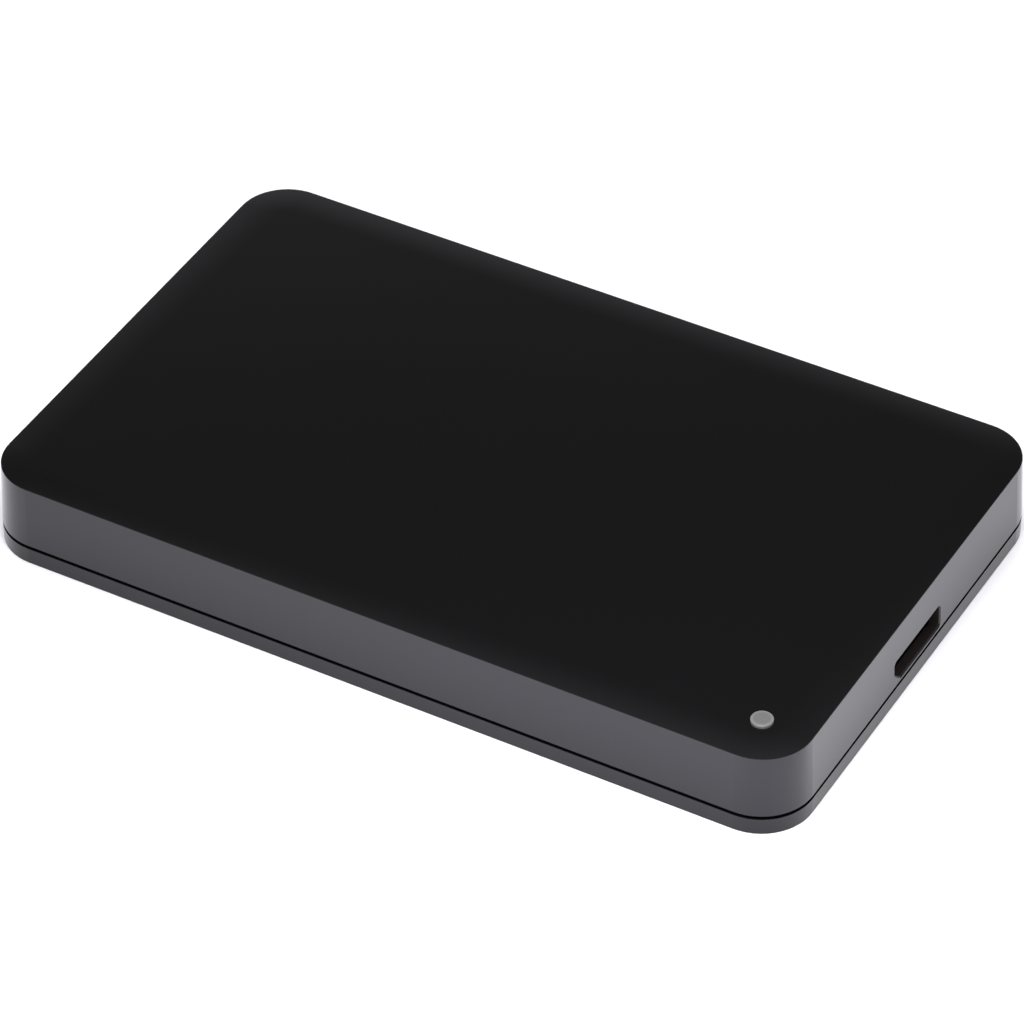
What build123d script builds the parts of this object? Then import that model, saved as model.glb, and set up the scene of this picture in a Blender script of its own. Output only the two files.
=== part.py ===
from build123d import *
import math
import os

# A portable hard drive: a two-piece moulded case around a bridge board and a 2.5-inch disk drive.
# Millimetres. The origin is the middle of the underside, +X leaves through the port, +Z is up.
# The drive is sized from its disks and heads outwards, and the case from the drive outwards.

# Disks and spindle
platter_radius = 32.5
platter_bore = 10.0  # radius
platter_thickness = 0.635
disk_clearance = 0.8  # platter edge to the wall of its pocket
hub_fit = 0.04
hub_flange = 2.0  # how far the flange and the spacer reach under the platters
hub_flange_thickness = 1.0
hub_wall = 1.0
hub_roof = 1.2
hub_recess = 0.135  # hub top below the upper platter, so that the clamp bears on the platter
shaft_radius = 1.75
bearing_clearance = 0.05
sleeve_wall = 1.6
sleeve_roof_gap = 0.5
rotor_magnet_wall = 1.0
rotor_magnet_height = 1.7
rotor_air_gap = 0.4
skirt_gap = 0.4  # turning skirt to the floor and wall of the motor well
stator_teeth = 9
stator_tooth_width = 1.0
stator_yoke_wall = 1.1
stator_tip_wall = 0.6
stator_tip_share = 0.6  # part of the full turn that the tips cover
stator_core_height = 1.0
stator_coil_wall = 0.5
stator_floor_gap = 0.15
clamp_overlap = 2.3  # clamp edge beyond the platter's bore
clamp_thickness = 0.5
clamp_screw_radius = 1.0
clamp_screw_depth = 3.0

# Heads and actuator
fly_gap = 0.06
slider_length = 1.2
slider_width = 1.0
slider_thickness = 0.3
beam_thickness = 0.15
beam_length = 10.0  # from its root on the arm to the head
beam_root_width = 4.0
beam_tip_width = 1.0
lift_tab = 2.4  # beam tip beyond the head
arm_thickness = 0.55
middle_arm_thickness = 0.745
arm_tip_radius = 2.4
arm_tip_overlap = 2.6  # arm end past the root of its beam
arm_window_margin = 1.2  # metal left beside the window in each arm
arm_deck_gap = 0.34
arm_cover_gap = 0.405
pivot_body_radius = 5.6
pivot_clearance = 0.55  # actuator body to the edge of the platters
pivot_angle = -15.76  # direction from the spindle to the pivot, degrees
arm_setback = 7.15  # heads pass this far from the spindle's axis
park_margin = 2.0  # heads past the platter's edge when parked
inner_track_margin = 4.5  # innermost track beyond the platter's bore
pivot_sleeve_wall = 0.7
pivot_sleeve_fit = 1.0  # wall of the actuator body around the sleeve
pivot_post_radius = 2.0
pivot_bearing_height = 1.4
pivot_end_gap = 0.2
coil_offset = 16.0  # coil turned from the line of the arms, degrees
coil_inner_radius = 8.6
coil_outer_radius = 16.4
coil_half_angle = 19.0
coil_width = 2.4
coil_thickness = 1.2
coil_gap = 0.5
fork_extra_angle = 5.0
fork_reach = 4.4  # prongs beyond the coil's inner side
yoke_thickness = 0.8
yoke_margin = 1.6  # yoke beyond the coil's outer side
yoke_extra_angle = 13.0
voice_magnet_thickness = 0.75
voice_magnet_margin = 0.8  # magnet within the coil's radii
yoke_lug_width = 2.6
yoke_lug_thickness = 0.8
stop_pad_thickness = 0.8
stop_angle = 8.5  # stops beyond the fork at either end of its swing, degrees
ramp_slider_gap = 0.3
ramp_finger_gap = 0.1
ramp_disk_gap = 0.3
ramp_park_angle = 4.0
ramp_post_width = 3.6
ramp_tab_gap = 0.3
flex_thickness = 0.12
flex_height = 2.4
flex_bracket_size = 7.0
flex_bracket_wall = 3.0
flex_side = 17.0  # bracket from the pivot, across the drive
flex_along = 9.0  # bracket from the pivot, along the drive
flex_bow = 2.0
flex_gap = 0.2
filter_length = 9.0
filter_thickness = 2.2
filter_height = 4.0
filter_gap = 0.6

# Drive base, cover and control board
board_inset = 0.25
drive_board_thickness = 0.8
chip_space = 0.95
deck_thickness = 1.0
motor_base_thickness = 0.9
motor_base_lift = 0.2
motor_cup_wall = 1.2
side_wall = 1.625
rear_wall = 2.2
rail_wall = 3.7  # beside the actuator pocket
rail_width = 6.4  # underside rails beside the control board
end_wall = 1.2
yoke_pocket_gap = 1.1
connector_bay = 7.2
drive_corner_radius = 1.5
pocket_corner_radius = 3.0
drive_cover_thickness = 0.6
drive_cover_relief = 0.4
drive_cover_inset = 0.3
panel_inset = 6.5
panel_corner_radius = 4.0
gasket_thickness = 0.3
gasket_width = 1.0
gasket_inset = 0.3
cover_screw_inset = 3.6
cover_screw_radius = 0.95
cover_screw_depth = 4.0
cover_head_radius = 1.9
cover_head_height = 0.38
screw_clearance = 0.05
side_hole_radius = 1.25
side_hole_depth = 3.0
side_hole_height = 3.0
side_hole_front = 14.0  # from the connector end
side_hole_rear = 9.6  # from the other end
board_edge_gap = 0.5
board_rear_x = 2.0
board_screw_inset = 4.0
board_screw_radius = 0.8
board_screw_bite = 0.4
board_ledge_width = 6.0
board_head_radius = 1.6
board_head_height = 0.2
chip_thickness = 0.8
chip_bevel = 0.15
processor_size = 12.0
motor_driver_size = 7.0
memory_length = 10.0
memory_width = 6.0
chip_spacing = 4.0

# The 22-way connector between the drive and the bridge board
contact_pitch = 1.27
signal_contacts = 7
power_contacts = 15
tongue_margin = 1.35  # tongue past its outer contacts
tongue_spacing = 2.4
tongue_thickness = 1.2
tongue_length = 3.9
tongue_tip_inset = 0.5
tongue_fit = 0.12
connector_height = 3.25  # tongue's middle above the drive's underside
connector_offset = 2.0
plug_flank = 2.5
plug_back_gap = 0.1
receptacle_flank = 1.2
receptacle_height = 3.3
receptacle_reach = 2.3  # past the end of the drive
mating_gap = 0.2
contact_width = 0.6
plug_contact_thickness = 0.12
spring_contact_thickness = 0.2
contact_head_room = 0.08
contact_foot = 1.4
connector_clearance = 0.5

# Bridge board
bridge_thickness = 1.0
bridge_drop = 0.85  # board's upper face below the tongue's middle
bridge_margin = 3.5
bridge_edge_gap = 0.3
bridge_chip_size = 7.0
firmware_length = 5.0
firmware_width = 4.0
firmware_thickness = 1.5
crystal_length = 3.2
crystal_width = 2.5
inductor_size = 4.0
inductor_height = 2.0
capacitor_length = 1.6
capacitor_width = 0.8
capacitor_count = 4
capacitor_pitch = 2.2
led_length = 1.6
led_width = 1.2
led_height = 0.6

# The port's socket
socket_width = 12.4
socket_height = 1.95
socket_depth = 7.0
socket_split = 7.1  # width of the wide half, notch included
socket_notch = 0.5
socket_chamfer = 0.85
socket_sheet = 0.3
socket_lip = 0.35
socket_lip_length = 0.4
socket_back = 2.4
socket_mouth_gap = 0.25
socket_leg_width = 1.2
socket_leg_gap = 0.15
socket_leg_tip = 0.3
socket_tongue_thickness = 0.6
socket_tongue_inset = 0.7
socket_tongue_rise = 0.2
socket_tongue_flank = 1.0
socket_contact_count = 5
socket_contact_pitch = 0.65
socket_contact_width = 0.3
socket_contact_thickness = 0.1
port_offset = 0.05
port_clear_side = 0.8  # opening beyond the socket's cavity
port_clear_height = 0.87
port_chamfer = 1.7
port_corner = 0.6
port_edge_bevel = 0.2  # lead-in round the opening

# Moulded case
case_wall = 1.6
cover_top_wall = 1.6
tray_floor = 1.5
corner_radius = 7.95
cover_draft = 2.2  # degrees
tray_draft = 0.6  # degrees
tray_rise = 1.18  # outer side of the tray above its floor
shadow_gap = 0.6
shadow_depth = 0.7
top_edge_bevel = 0.1
foot_edge_bevel = 0.1
lip_thickness = 1.0
lip_height = 2.2
lip_clearance = 0.12
hook_width = 8.0
hook_depth = 0.45
hook_lift = 0.7
hook_flat = 0.25
hook_slope = 0.7
hook_clearance = 0.12
hook_pitch = 30.0
hook_count = 4
end_hook_offset = 22.0
drive_end_clearance = 0.5
bumper_thickness = 2.0
bumper_length = 8.0
bumper_height = 5.0
bumper_pin_fit = 0.05
bumper_pin_end_gap = 0.4
cradle_wall = 1.0
cradle_gap = 0.2
cradle_drive_gap = 0.3
bay_length = 23.68
pad_below = 0.45
pad_above = 0.45
pad_width = 5.0
pad_length = 58.0
top_pad_width = 9.0
top_pad_length = 48.0
top_pad_spacing = 52.0
pipe_radius = 1.6
pipe_proud = 0.45
pipe_fit = 0.08
pipe_collar = 0.7
pipe_collar_thickness = 1.0
pipe_edge_bevel = 0.15
pipe_guide_wall = 0.8
pipe_guide_height = 2.5
pipe_led_gap = 0.3
post_width = 3.6
post_pin_radius = 0.9
post_pin_fit = 0.12
post_pin_height = 1.2
post_inset = 3.0
rest_rib_width = 1.2
rest_rib_length = 4.0
rest_rib_offset = 10.0
hold_post_width = 2.4
hold_post_gap = 0.1
lip_notch_gap = 1.0

# Heights in the drive, from its underside
head_stack = fly_gap + slider_thickness + beam_thickness
recess_z = board_inset + drive_board_thickness + chip_space
deck_z = recess_z + deck_thickness
lower_arm_z = deck_z + arm_deck_gap
lower_platter_z = lower_arm_z + arm_thickness + head_stack
lower_platter_top = lower_platter_z + platter_thickness
platter_gap = 2 * head_stack + middle_arm_thickness
upper_platter_z = lower_platter_top + platter_gap
upper_platter_top = upper_platter_z + platter_thickness
middle_arm_z = lower_platter_top + head_stack
upper_arm_z = upper_platter_top + head_stack
upper_arm_top = upper_arm_z + arm_thickness
panel_under_z = upper_arm_top + arm_cover_gap
flange_under_z = panel_under_z - drive_cover_relief
base_top_z = flange_under_z - gasket_thickness
drive_height = panel_under_z + drive_cover_thickness
motor_floor_z = motor_base_lift + motor_base_thickness
drive_board_top = board_inset + drive_board_thickness
coil_z = deck_z + yoke_thickness + voice_magnet_thickness + coil_gap
upper_magnet_z = coil_z + coil_thickness + coil_gap
upper_yoke_z = upper_magnet_z + voice_magnet_thickness

# Plan of the drive, from the spindle's axis
hub_radius = platter_bore - hub_fit
hub_flange_radius = platter_bore + hub_flange
rotor_magnet_radius = hub_radius - hub_wall
motor_well_radius = hub_radius + skirt_gap
motor_cup_radius = motor_well_radius + motor_cup_wall
sleeve_radius = shaft_radius + bearing_clearance + sleeve_wall
stator_radius = rotor_magnet_radius - rotor_magnet_wall - rotor_air_gap
disk_pocket_radius = platter_radius + disk_clearance
drive_half_width = disk_pocket_radius + side_wall
drive_width = 2 * drive_half_width
drive_rear_x = -(disk_pocket_radius + rear_wall)
pivot_distance = platter_radius + pivot_clearance + pivot_body_radius
pivot_x = pivot_distance * math.cos(math.radians(pivot_angle))
pivot_y = pivot_distance * math.sin(math.radians(pivot_angle))
arm_reach = pivot_distance - arm_setback
yoke_outer_radius = coil_outer_radius + yoke_margin
pocket_end_x = pivot_x + yoke_outer_radius + yoke_pocket_gap
pocket_half_width = drive_half_width - rail_wall
bay_x = pocket_end_x + end_wall
drive_front_x = bay_x + connector_bay
drive_length = drive_front_x - drive_rear_x
recess_half_width = drive_half_width - rail_width
contact_run = (signal_contacts + power_contacts - 2) * contact_pitch
plug_half_width = (contact_run + 4 * tongue_margin + tongue_spacing) / 2


def swing_angle(radius):
    """Angle at the pivot between the spindle and a head over the given radius, in degrees."""
    cosine = (pivot_distance**2 + arm_reach**2 - radius**2) / (2 * pivot_distance * arm_reach)
    return math.degrees(math.acos(cosine))


spindle_direction = 180 + pivot_angle
park_direction = spindle_direction - swing_angle(platter_radius + park_margin)
inner_direction = spindle_direction - swing_angle(platter_bore + inner_track_margin)
actuator_swing = inner_direction - park_direction
coil_park_direction = park_direction + 180 + coil_offset
coil_inner_direction = coil_park_direction + actuator_swing
fork_half_angle = coil_half_angle + fork_extra_angle

# The case around the drive
lip_inset = case_wall + lip_clearance + lip_thickness
drive_room = drive_end_clearance + drive_length + bay_length
case_length = lip_inset + drive_room + case_wall
case_width = drive_width + 2 * (bumper_thickness + lip_inset)
case_height = tray_floor + pad_below + drive_height + pad_above + cover_top_wall
tray_side = tray_floor + tray_rise
parting_z = tray_side + shadow_gap
lip_top = parting_z + lip_height
ceiling_z = case_height - cover_top_wall
drive_z = tray_floor + pad_below
spindle_x = -case_length / 2 + lip_inset + drive_end_clearance - drive_rear_x
drive_end_x = spindle_x + drive_front_x
connector_z = drive_z + connector_height
bridge_top = connector_z - bridge_drop
bridge_bottom = bridge_top - bridge_thickness
bridge_rear_x = drive_end_x + receptacle_reach
bridge_front_x = case_length / 2 - lip_inset - bridge_edge_gap
bridge_side_y = connector_offset + plug_half_width + bridge_margin
pipe_x = case_length / 2 - corner_radius
pipe_y = -(case_width / 2 - corner_radius)
socket_z = bridge_top + socket_sheet + socket_height / 2
port_z = socket_z
wall_lean = math.tan(math.radians(cover_draft))
socket_mouth_x = case_length / 2 - case_wall - (case_height - parting_z) * wall_lean / 2 - socket_mouth_gap
socket_back_x = socket_mouth_x - socket_depth
post_spots = [
    (bridge_rear_x + post_inset, bridge_side_y - post_inset),
    (bridge_rear_x + post_inset, pipe_y + post_inset),
]


def raised(sketch, bottom, top, draft=0.0):
    """Flat sketch raised between two heights, leaning inwards by the draft on its way up."""
    return extrude(Pos(0, 0, bottom) * sketch, amount=top - bottom, taper=draft)


def disc(radius, bottom, top):
    """Upright round bar on the Z axis."""
    return raised(Circle(radius), bottom, top)


def tube(outer, inner, bottom, top):
    """Upright ring on the Z axis."""
    return raised(Circle(outer) - Circle(inner), bottom, top)


def slab(x0, x1, y0, y1, bottom, top, corner=0.0):
    """Upright plate between two corners in plan, with rounded upright edges."""
    plan = RectangleRounded(x1 - x0, y1 - y0, corner) if corner else Rectangle(x1 - x0, y1 - y0)
    return raised(Pos((x0 + x1) / 2, (y0 + y1) / 2) * plan, bottom, top)


def sector(inner, outer, start, end):
    """Flat ring sector about the origin between two directions in degrees."""
    far = CenterArc((0, 0), outer, start, end - start)
    near = CenterArc((0, 0), inner, start, end - start)
    return make_face([far, near, Line(far @ 0, near @ 0), Line(far @ 1, near @ 1)])


def group(pieces):
    """Separate solids that share one node."""
    return Compound([solid for piece in pieces for solid in piece.solids()])


def in_case(shape):
    """From the drive's own frame, on the spindle's axis, to its place in the case."""
    return Pos(spindle_x, 0, drive_z) * shape


def at_pivot(shape):
    """From the actuator's pivot to the drive's frame."""
    return Pos(pivot_x, pivot_y, 0) * shape


def parked(shape):
    """From arms along +X to the parked direction, in the drive's frame."""
    return at_pivot(Rot(0, 0, park_direction) * shape)


def round_screw(radius, depth, head_radius, head_height):
    """Low cone-headed screw, seat of its head at the origin and its shank downwards."""
    profile = Polyline(
        (0, -depth),
        (radius, -depth),
        (radius, 0),
        (head_radius, 0),
        (head_radius - head_height, head_height),
        (0, head_height),
        close=True,
    )
    return revolve(Plane.XZ * make_face(profile), Axis.Z)


# Moulded case


def case_outline(inset=0.0):
    """Plan of the case at the parting line, drawn in by an inset."""
    return RectangleRounded(case_length - 2 * inset, case_width - 2 * inset, corner_radius - inset)


def hook_row(grow=0.0):
    """Snap hooks round the tray's lip, or with a margin the pockets that they catch in."""
    inset = case_wall + lip_clearance + hook_lift * wall_lean
    reach_x = case_length / 2 - inset
    reach_y = case_width / 2 - inset
    root = lip_thickness / 2
    profile = Polyline(
        (-root, -grow),
        (hook_depth + grow, -grow),
        (hook_depth + grow, hook_flat + grow),
        (-root, hook_slope + hook_flat + grow),
        close=True,
    )
    hook = extrude(Plane.XZ * make_face(profile), amount=hook_width / 2 + grow, both=True)
    hook = Pos(0, 0, parting_z + hook_lift) * hook
    stations = [(i - (hook_count - 1) / 2) * hook_pitch for i in range(hook_count)]
    long_sides = [
        Pos(x, side * reach_y) * Rot(0, 0, side * 90) * hook
        for x in stations
        for side in (-1, 1)
    ]
    ends = [
        Pos(side * reach_x, y) * Rot(0, 0, 90 - side * 90) * hook
        for y in (-end_hook_offset, end_hook_offset)
        for side in (-1, 1)
    ]
    return long_sides + ends


def port_outline():
    """Opening in the wall around the socket, with one corner cut off as the plug has it."""
    half_width = socket_width / 2 + port_clear_side
    half_height = socket_height / 2 + port_clear_height
    corners = Polyline(
        (-half_width + port_chamfer, -half_height),
        (half_width, -half_height),
        (half_width, half_height),
        (-half_width, half_height),
        (-half_width, -half_height + port_chamfer),
        close=True,
    )
    opening = make_face(corners)
    return fillet(opening.vertices(), port_corner)


def upper_cover():
    """Box lid with leaning walls, port opening, light hole, pipe guide, board posts and hook pockets."""
    outer = raised(case_outline(), parting_z, case_height, cover_draft)
    outer = chamfer(outer.faces().sort_by(Axis.Z)[-1].edges(), top_edge_bevel)
    cavity = raised(case_outline(case_wall), parting_z, ceiling_z, cover_draft)
    cover = outer - cavity
    guide_bore = pipe_radius + pipe_collar + pipe_fit
    guide = tube(guide_bore + pipe_guide_wall, guide_bore, ceiling_z - pipe_guide_height, ceiling_z)
    cover += Pos(pipe_x, pipe_y) * guide
    hold_post = raised(Rectangle(hold_post_width, hold_post_width), bridge_top + hold_post_gap, ceiling_z)
    cover += Pos(bridge_front_x - post_inset, bridge_side_y - post_inset) * hold_post
    cover += Pos(bridge_front_x - post_inset, pipe_y + 2 * rest_rib_offset) * hold_post
    cover -= Pos(pipe_x, pipe_y) * disc(pipe_radius + pipe_fit, ceiling_z, case_height)
    port = Plane.YZ * (Pos(port_offset, port_z) * port_outline())
    cover -= Pos(bridge_front_x, 0, 0) * extrude(port, amount=2 * lip_inset)
    port_wall = cover.faces().sort_by(Axis.X)[-1]
    cover = chamfer(port_wall.inner_wires().edges(), port_edge_bevel)
    return cover - hook_row(hook_clearance)


def bumper_spots():
    """Places of the drive's side holes in the case, with the side that each one is on."""
    stations = [spindle_x + x for x in side_hole_stations()]
    return [(x, side) for x in stations for side in (-1, 1)]


def lower_tray():
    """Shallow pan with a shadow step, a lip with snap hooks, board posts, rests and bumper cradles."""
    pan = extrude(Pos(0, 0, tray_side) * case_outline(), amount=tray_side, dir=(0, 0, -1), taper=tray_draft)
    pan = chamfer(pan.faces().sort_by(Axis.Z)[0].edges(), foot_edge_bevel)
    pan += raised(case_outline(shadow_depth), tray_side, parting_z)
    pan += raised(case_outline(case_wall + lip_clearance), parting_z, lip_top, cover_draft)
    pan += hook_row()
    pan -= raised(case_outline(lip_inset), tray_floor, lip_top)
    notch_half = socket_width / 2 + socket_sheet + socket_lip + lip_notch_gap
    notch_x = case_length / 2 - lip_inset
    notch = Pos((notch_x + case_length / 2) / 2, port_offset) * Rectangle(2 * lip_inset, 2 * notch_half)
    pan -= raised(notch, parting_z, lip_top)
    for x, y in post_spots:
        pan += Pos(x, y) * raised(Rectangle(post_width, post_width), tray_floor, bridge_bottom)
        pan += Pos(x, y) * disc(post_pin_radius, bridge_bottom, bridge_top + post_pin_height)
    for side in (-1, 1):
        y = port_offset + side * rest_rib_offset
        x = bridge_front_x - rest_rib_length
        pan += slab(x, notch_x, y - rest_rib_width / 2, y + rest_rib_width / 2, tray_floor, bridge_bottom)
    lip_face = case_width / 2 - lip_inset
    drive_face = drive_half_width + cradle_drive_gap
    for x, side in bumper_spots():
        for end in (-1, 1):
            near = x + end * (bumper_length / 2 + cradle_gap)
            far = near + end * cradle_wall
            x_pair = sorted((near, far))
            y_pair = sorted((side * drive_face, side * (lip_face + lip_thickness / 2)))
            pan += slab(*x_pair, *y_pair, tray_floor, lip_top)
        seat = sorted((side * drive_half_width, side * lip_face))
        pan -= slab(x - bumper_length / 2, x + bumper_length / 2, *seat, drive_z, lip_top)
    return pan - in_case(raised(drive_outline(-cradle_drive_gap), 0, drive_height))


def light_pipe():
    """Stepped translucent pin from just above the diode to a little proud of the top."""
    rod = disc(pipe_radius, bridge_top + led_height + pipe_led_gap, case_height + pipe_proud)
    rod = chamfer(rod.faces().sort_by(Axis.Z)[-1].edges(), pipe_edge_bevel)
    collar = disc(pipe_radius + pipe_collar, ceiling_z - pipe_collar_thickness, ceiling_z)
    return Pos(pipe_x, pipe_y) * (rod + collar)


def bottom_pad(side):
    """Foam strip under one rail of the drive."""
    y = side * (drive_half_width - rail_width / 2)
    x = spindle_x + (drive_rear_x + drive_front_x) / 2
    return slab(
        x - pad_length / 2, x + pad_length / 2, y - pad_width / 2, y + pad_width / 2, tray_floor, drive_z
    )


def top_pad(end):
    """Foam strip between the drive's cover and the ceiling of the case."""
    x = spindle_x + (drive_rear_x + drive_front_x + end * top_pad_spacing) / 2
    return slab(
        x - top_pad_width / 2,
        x + top_pad_width / 2,
        -top_pad_length / 2,
        top_pad_length / 2,
        drive_z + drive_height,
        ceiling_z,
    )


def shock_bumper(x, side):
    """Rubber block between the drive and the tray's lip, with a pin in the drive's side hole."""
    z = drive_z + side_hole_height
    block = extrude(Plane.XZ * Rectangle(bumper_length, bumper_height), amount=-bumper_thickness)
    pin_radius = side_hole_radius - bumper_pin_fit
    block += extrude(Plane.XZ * Circle(pin_radius), amount=side_hole_depth - bumper_pin_end_gap)
    turned = block if side > 0 else Rot(0, 0, 180) * block
    return Pos(x, side * drive_half_width, z) * turned


# Bridge board and its pieces


def bridge_board():
    """Circuit board that follows the case's front corner, with holes for posts and socket legs."""
    edge = lip_inset + bridge_edge_gap
    strip = Pos((bridge_rear_x + bridge_front_x) / 2, (bridge_side_y - case_width / 2) / 2)
    plan = strip * Rectangle(bridge_front_x - bridge_rear_x, bridge_side_y + case_width / 2)
    plan = plan & case_outline(edge)
    for x, y in post_spots:
        plan -= Pos(x, y) * Circle(post_pin_radius + post_pin_fit)
    slot = Rectangle(socket_leg_width + 2 * socket_leg_gap, socket_sheet + 2 * socket_leg_gap)
    for x, y in socket_leg_spots():
        plan -= Pos(x, y) * slot
    return raised(plan, bridge_bottom, bridge_top)


def socket_leg_spots():
    """Middles of the socket shell's four legs."""
    reach = (socket_width + socket_sheet) / 2
    stations = (socket_back_x + socket_leg_width, bridge_front_x - 2 * socket_leg_width)
    return [(x, port_offset + side * reach) for x in stations for side in (-1, 1)]


def socket_outline(margin=0.0):
    """Front shape of the socket's cavity: a wide half with cut corners, a notch and a square half."""
    half_width = socket_width / 2
    half_height = socket_height / 2
    split = socket_split - half_width
    notch_top = -half_height + socket_chamfer
    outline = Polyline(
        (-half_width + socket_chamfer, -half_height),
        (split - socket_notch - socket_chamfer, -half_height),
        (split - socket_notch, notch_top),
        (split, notch_top),
        (split, -half_height),
        (half_width, -half_height),
        (half_width, half_height),
        (-half_width, half_height),
        (-half_width, notch_top),
        close=True,
    )
    face = make_face(outline)
    return offset(face, amount=margin, kind=Kind.INTERSECTION) if margin else face


def along_port(sketch, start_x, end_x):
    """Front shape pushed along X between two places, on the port's axis."""
    placed = Plane.YZ * (Pos(port_offset, port_z) * sketch)
    return Pos(start_x, 0, 0) * extrude(placed, amount=end_x - start_x)


def usb_socket_shell():
    """Folded steel shell with a turned-out lip and four legs through the board."""
    wall = socket_outline(socket_sheet) - socket_outline()
    lip = socket_outline(socket_sheet + socket_lip) - socket_outline()
    shell = along_port(wall, socket_back_x, socket_mouth_x)
    shell += along_port(lip, socket_mouth_x - socket_lip_length, socket_mouth_x)
    leg = Rectangle(socket_leg_width, socket_sheet)
    for x, y in socket_leg_spots():
        shell += Pos(x, y) * raised(leg, bridge_bottom - socket_leg_tip, port_z + socket_height / 4)
    return shell


def socket_halves():
    """Middle and width of the two tongues, across the socket."""
    split = socket_split - socket_width / 2
    wide = (-socket_width / 2 + split - socket_notch) / 2
    narrow = (split + socket_width / 2) / 2
    return [
        (wide, socket_split - socket_notch - 2 * socket_tongue_flank),
        (narrow, socket_width - socket_split - socket_tongue_flank),
    ]


def usb_socket_insulator():
    """Moulded block at the back of the socket with a tongue in each half."""
    body = along_port(socket_outline(), socket_back_x, socket_back_x + socket_back)
    for middle, width in socket_halves():
        tongue = Pos(middle, socket_tongue_rise) * Rectangle(width, socket_tongue_thickness)
        body += along_port(tongue, socket_back_x + socket_back, socket_mouth_x - socket_tongue_inset)
    return body


def usb_socket_contacts():
    """Five spring contacts under each tongue."""
    z = socket_tongue_rise - socket_tongue_thickness / 2 - socket_contact_thickness / 2
    bar = Rectangle(socket_contact_width, socket_contact_thickness)
    start = socket_back_x + socket_back
    end = socket_mouth_x - 2 * socket_tongue_inset
    bars = []
    for middle, width in socket_halves():
        pitch = min(socket_contact_pitch, width / socket_contact_count)
        for i in range(socket_contact_count):
            y = middle + (i - (socket_contact_count - 1) / 2) * pitch
            bars.append(along_port(Pos(y, z) * bar, start, end))
    return group(bars)


def tongue_row():
    """Start and contact count of the two tongues across the connector, from its low end."""
    first = connector_offset - plug_half_width
    power_width = (power_contacts - 1) * contact_pitch + 2 * tongue_margin
    return [(first, power_contacts), (first + power_width + tongue_spacing, signal_contacts)]


def contact_places():
    """Places of all contacts across the connector."""
    rows = [(start + tongue_margin, count) for start, count in tongue_row()]
    return [start + i * contact_pitch for start, count in rows for i in range(count)]


def tongue_width(count):
    """Width of a tongue that carries the given number of contacts."""
    return (count - 1) * contact_pitch + 2 * tongue_margin


tongue_root_x = drive_front_x - tongue_tip_inset - tongue_length
receptacle_back_x = drive_front_x + receptacle_reach
tongue_top = connector_height + tongue_thickness / 2
tongue_under = connector_height - tongue_thickness / 2
spring_z = tongue_top + plug_contact_thickness


def sata_receptacle():
    """Connector housing on the bridge board, with a slot for each tongue of the drive's plug."""
    half = plug_half_width + receptacle_flank
    bottom = connector_height - receptacle_height / 2
    start = tongue_root_x + mating_gap
    top = bottom + receptacle_height
    body = slab(start, receptacle_back_x, connector_offset - half, connector_offset + half, bottom, top)
    slot_end = drive_front_x - tongue_tip_inset + mating_gap
    slot_top = spring_z + spring_contact_thickness + contact_head_room
    for y, count in tongue_row():
        width = tongue_width(count)
        slot_floor = tongue_under - tongue_fit
        body -= slab(start, slot_end, y - tongue_fit, y + width + tongue_fit, slot_floor, slot_top)
        channel_start = y + tongue_margin - contact_width
        channel_end = y + width - tongue_margin + contact_width
        body -= slab(slot_end, receptacle_back_x, channel_start, channel_end, spring_z, slot_top)
    return in_case(body)


def sata_receptacle_contacts():
    """Bent contacts from the receptacle's slots down to the bridge board."""
    board_z = connector_height - bridge_drop
    start = tongue_root_x + 2 * mating_gap
    bend = receptacle_back_x + spring_contact_thickness
    profile = Polyline(
        (start, spring_z),
        (receptacle_back_x, spring_z),
        (receptacle_back_x, board_z),
        (receptacle_back_x + contact_foot, board_z),
        (receptacle_back_x + contact_foot, board_z + spring_contact_thickness),
        (bend, board_z + spring_contact_thickness),
        (bend, spring_z + spring_contact_thickness),
        (start, spring_z + spring_contact_thickness),
        close=True,
    )
    contact = extrude(Plane.XZ * make_face(profile), amount=contact_width / 2, both=True)
    return in_case(group(Pos(0, y, 0) * contact for y in contact_places()))


def chip(length, width, height, bottom):
    """Moulded chip package with a bevelled upper edge."""
    body = slab(-length / 2, length / 2, -width / 2, width / 2, bottom, bottom + height)
    return chamfer(body.faces().sort_by(Axis.Z)[-1].edges(), chip_bevel)


chip_row_x = (bridge_rear_x + contact_foot + socket_back_x) / 2


def bridge_chip():
    """The converter between the drive's connector and the port."""
    package = chip(bridge_chip_size, bridge_chip_size, chip_thickness, bridge_top)
    return Pos(chip_row_x, port_offset) * package


def firmware_chip():
    """Small memory beside the bridge chip."""
    y = port_offset + bridge_chip_size / 2 + chip_spacing + firmware_width / 2
    return Pos(chip_row_x, y) * chip(firmware_length, firmware_width, firmware_thickness, bridge_top)


def clock_crystal():
    """Crystal in a flat can."""
    y = port_offset - bridge_chip_size / 2 - chip_spacing
    return Pos(chip_row_x, y) * chip(crystal_length, crystal_width, chip_thickness, bridge_top)


def power_inductor():
    """Square moulded inductor."""
    y = port_offset - bridge_chip_size / 2 - 2 * chip_spacing - inductor_size / 2
    return Pos(chip_row_x, y) * chip(inductor_size, inductor_size, inductor_height, bridge_top)


def board_capacitors():
    """Row of small capacitors between the inductor and the corner light."""
    first = port_offset - bridge_chip_size / 2 - 2 * chip_spacing - inductor_size
    cap = slab(
        -capacitor_length / 2,
        capacitor_length / 2,
        -capacitor_width / 2,
        capacitor_width / 2,
        bridge_top,
        bridge_top + capacitor_width,
    )
    return group(Pos(chip_row_x, first - (i + 1) * capacitor_pitch) * cap for i in range(capacitor_count))


def activity_led():
    """Light-emitting diode under the light pipe."""
    return Pos(pipe_x, pipe_y) * chip(led_length, led_width, led_height, bridge_top)


# Drive base, cover and control board


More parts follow.
